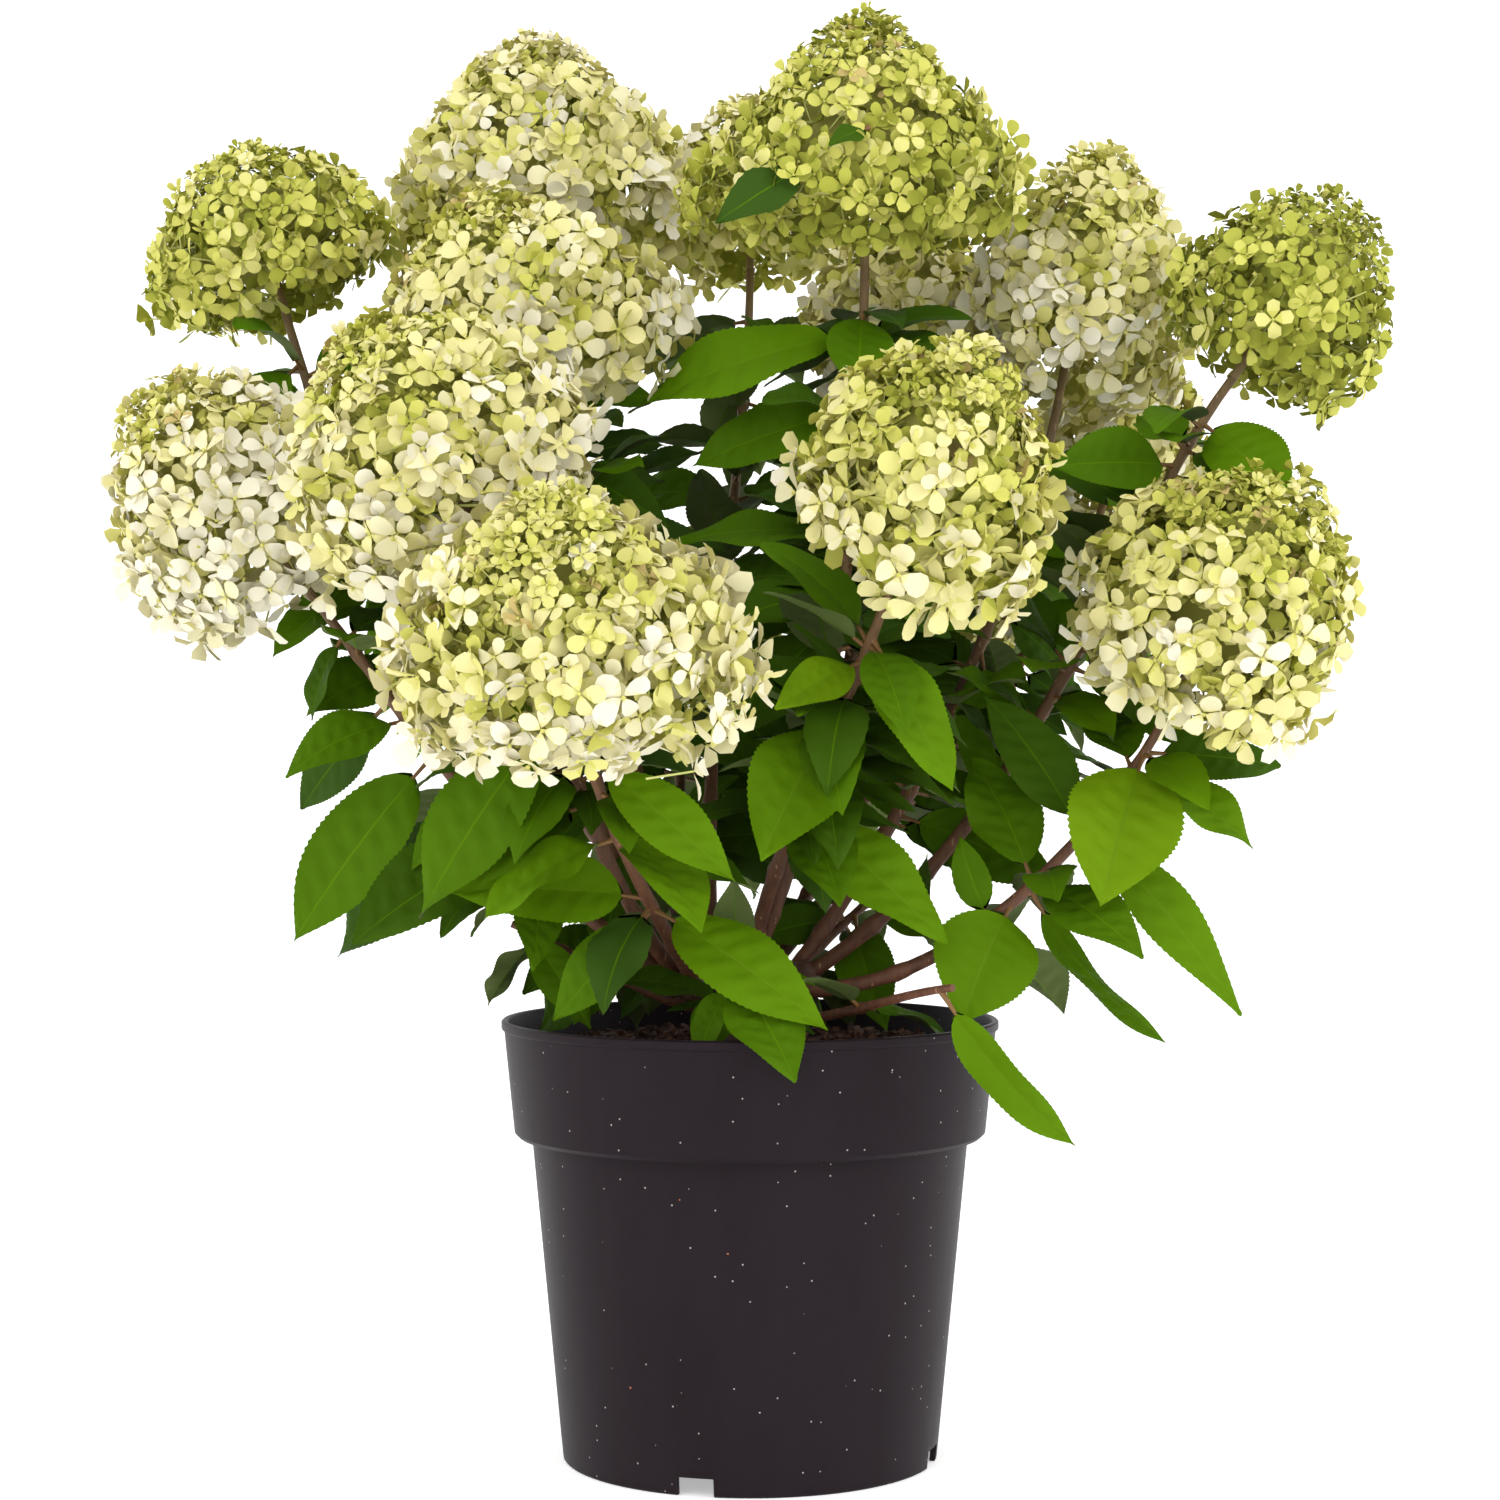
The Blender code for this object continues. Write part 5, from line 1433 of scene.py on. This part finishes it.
def floretsOf(number, shoot):
    draw = random.Random(900 + number)
    heap = []
    axis = headAxis(shoot)
    turn = worldUp.rotation_difference(axis)
    centre = Vector(shoot.centre)
    lime = shoot.tone == "lime"
    loose = looseHeads.get(number, 0)
    area = math.pi * shoot.width * (shoot.width + shoot.length) / 2
    outer = int(area / head["limeSpacing" if lime else "spacing"])
    inner = int(outer * (head["innerShare"] + loose))
    layers = ((outer, 0.865, 0.06), (inner, 0.74, 0.05), (int(outer * head["crown"]), 0.87, 0.05))
    for layer, (count, share, spread) in enumerate(layers):
        for direction in spiralDirections(count):
            direction = (direction + scatter(draw) * head["jitter"]).normalized()
            crowning = float(smoothstep(0.35, 0.85, direction.z))
            sinking = float(smoothstep(-0.10, -0.70, direction.z))
            if direction.z < -0.93 or (layer == 2 and draw.random() > crowning):
                continue
            if layer == 0 and direction.z < 0.15 and draw.random() < loose:
                continue
            height = 0.5 + 0.5 * direction.z
            cluster = noise.noise(direction * head["clusters"] + Vector((0, number, 0)))
            reach = share + draw.uniform(-spread, spread) + head["clusterDepth"] * cluster + 0.09 * sinking
            reach = min(reach, head["reach"] - 0.03 * crowning + 0.09 * sinking)
            if layer == 0 and direction.z < 0.3 and draw.random() < head["flyers"]:
                reach += draw.uniform(0.03, 0.09)
            spot = headPoint(shoot, direction, reach, number)
            outward = Vector((spot.x / shoot.width, spot.y / shoot.width, spot.z / shoot.length)).normalized()
            leant = (outward + scatter(draw) * head["tilt"] + Vector((0, 0, 0.10))).normalized()
            outward = leant if leant.dot(outward) > 0.35 else (leant + outward).normalized()
            size = head["limeSize" if lime else "size"] * (1 - 0.42 * crowning) * draw.uniform(0.80, 1.14)
            size *= 1 + 0.22 * (1 - height) ** 2
            closed = draw.random() < 0.24 + 0.50 * crowning
            fine = layer == 0 and (turn @ direction).y < head["frontDepth"] and number <= head["frontHeads"]
            template = draw.choice(halfFlorets if closed else openFlorets if fine else plainFlorets)
            # Inner-layer and sunken florets get a greener tone and raised clusters a whiter one: painted
            # shade and light in the head
            tone = dealtTone(number, height, (0, 0.30, 0.08)[layer] - 0.4 * cluster, draw)
            spin = draw.uniform(0, math.tau)
            placeFloret(heap, template, centre + turn @ spot, turn @ outward, size, spin, tone)
    for _ in range(head["buds"]):
        direction = Vector((draw.gauss(0, 1), draw.gauss(0, 1), draw.gauss(0.6, 0.8))).normalized()
        spot = headPoint(shoot, direction, draw.uniform(0.78, 0.92), number)
        bud, faces = budArrays(draw.uniform(0.0012, 0.0021), 0)
        heap.append((bud + np.array(centre + turn @ spot), faces, np.full(len(faces), budSlot)))
    return heap


# What carries the florets: the stalk, its branches, and the dense middle of buds, whose darker tone is also
# painted shade deep in the head
def panicleOf(number, shoot, cane):
    draw = random.Random(700 + number)
    heap = []
    axis = headAxis(shoot)
    turn = worldUp.rotation_difference(axis)
    centre = Vector(shoot.centre)
    stalkTop = centre + axis * shoot.length * 0.25
    foot, _, radius = cane.at(cane.length - 0.004)
    heap.append(tubeArrays([foot, centre - axis * shoot.length * 0.30, centre, stalkTop],
                           [radius, 0.0021, 0.0017, 0.0010], 8, peduncleSlot))
    for direction in spiralDirections(head["branches"]):
        if direction.z < -0.35:
            continue
        tip = centre + turn @ headPoint(shoot, direction, 0.84, number)
        base = centre + axis * shoot.length * (0.30 * direction.z - 0.16)
        sag = base.lerp(tip, 0.5) - axis * 0.004
        heap.append(tubeArrays([base, sag, tip], [0.0012, 0.0009, 0.0006], 4, branchSlot))
    bpy.ops.mesh.primitive_ico_sphere_add(subdivisions=3, radius=1)
    ball = bpy.context.active_object
    points = []
    for vert in ball.data.vertices:
        direction = vert.co.normalized()
        bumps = 1 + 0.10 * noise.noise(direction * 9 + Vector((number, 0, 0)))
        bumps -= 0.16 * float(smoothstep(0.20, -0.40, direction.z))
        points.append((centre + turn @ headPoint(shoot, direction, head["coreShare"] * bumps, number))[:])
    triangles = np.array([tuple(face.vertices) for face in ball.data.polygons])
    bpy.data.objects.remove(ball)
    heap.append((np.array(points), triangles, np.full(len(triangles), coreSlot)))
    return heap


floretGroups = {
    "limeFlorets": ("lime", (1, 7, 9)),
    "limeFloretsBack": ("lime", (16,)),
    "creamFloretsFront": ("cream", (2, 3, 8)),
    "creamFloretsBack": ("cream", (12, 13, 14, 17)),
    "whiteFloretsLeft": ("white", (4, 5, 6)),
    "whiteFloretsRight": ("white", (10, 11, 15)),
}
for name, (tone, numbers) in floretGroups.items():
    heap = []
    for number in numbers:
        heap += floretsOf(number, shoots[number - 1])
    piece = heapMesh(name, heap, floretMaterials)
    handOver(piece, f"flowers_{tone}", *[f"head_{number:02d}" for number in numbers])
heap = []
for number, (shoot, cane) in enumerate(canes, 1):
    heap += panicleOf(number, shoot, cane)
panicles = heapMesh("panicleStalks", heap, panicleMaterials)
handOver(panicles, "flowers_lime")
print("flower heads made")

# Stage: a wide pale dish that turns up far behind and around, so that no edge of it shows
studio = dict(rise=2.4, floor=(0.90, 0.90, 0.90), glow=0.42, keyPower=18, fillPower=13, sky=0.96)


def makeFloor():
    profile = [(0.5, 0.0), (2.6, 0.0)]
    for i in range(1, 13):
        turn = math.pi / 2 * i / 12
        profile.append((2.6 + 2.4 * math.sin(turn), studio["rise"] * (1 - math.cos(turn))))
    bpy.ops.mesh.primitive_circle_add(
        vertices=96, radius=profile[0][0], fill_type="NGON", location=(0, 0, -0.0002))
    floor = bpy.context.active_object
    floor.name = floor.data.name = "studioFloor"
    bpy.ops.object.mode_set(mode="EDIT")
    bpy.ops.mesh.select_mode(type="EDGE")
    bpy.ops.mesh.select_all(action="SELECT")
    bpy.ops.mesh.region_to_loop()
    drawRings(profile)
    bpy.ops.object.mode_set(mode="OBJECT")
    settle(floor)
    floor.data.shade_smooth()
    floor.data.materials.append(newMaterial(
        "paleFloor", studio["floor"], 0.9, Emission_Color=(1, 1, 1, 1), Emission_Strength=studio["glow"])[0])


def addArea(name, place, target, size, power):
    light = bpy.data.lights.new(name, "AREA")
    light.size = size
    light.energy = power
    lamp = bpy.data.objects.new(name, light)
    lamp.location = place
    lamp.rotation_euler = (Vector(target) - Vector(place)).to_track_quat("-Z", "Y").to_euler()
    bpy.context.scene.collection.objects.link(lamp)


makeFloor()
addArea("keyLight", (-1.2, -2.2, 2.2), (0, 0, 0.4), 1.8, studio["keyPower"])
addArea("fillLight", (1.8, -1.7, 1.9), (0, 0, 0.45), 1.6, studio["fillPower"])
sky = bpy.data.worlds.new("studioSky")
sky.use_nodes = True
sky.node_tree.nodes["Background"].inputs["Color"].default_value = (1, 1, 1, 1)
sky.node_tree.nodes["Background"].inputs["Strength"].default_value = studio["sky"]
bpy.context.scene.world = sky
bpy.context.scene.view_settings.view_transform = "Standard"

# Camera: level, in front of the plant and a little above its middle, as in the photograph
camera = bpy.data.cameras.new("camera")
camera.sensor_width = 36
camera.lens = 73.94
viewer = bpy.data.objects.new("camera", camera)
viewer.location = cameraPlace
viewer.rotation_euler = (math.pi / 2, 0, 0)
bpy.context.scene.collection.objects.link(viewer)
bpy.context.scene.camera = viewer
print("stage set")
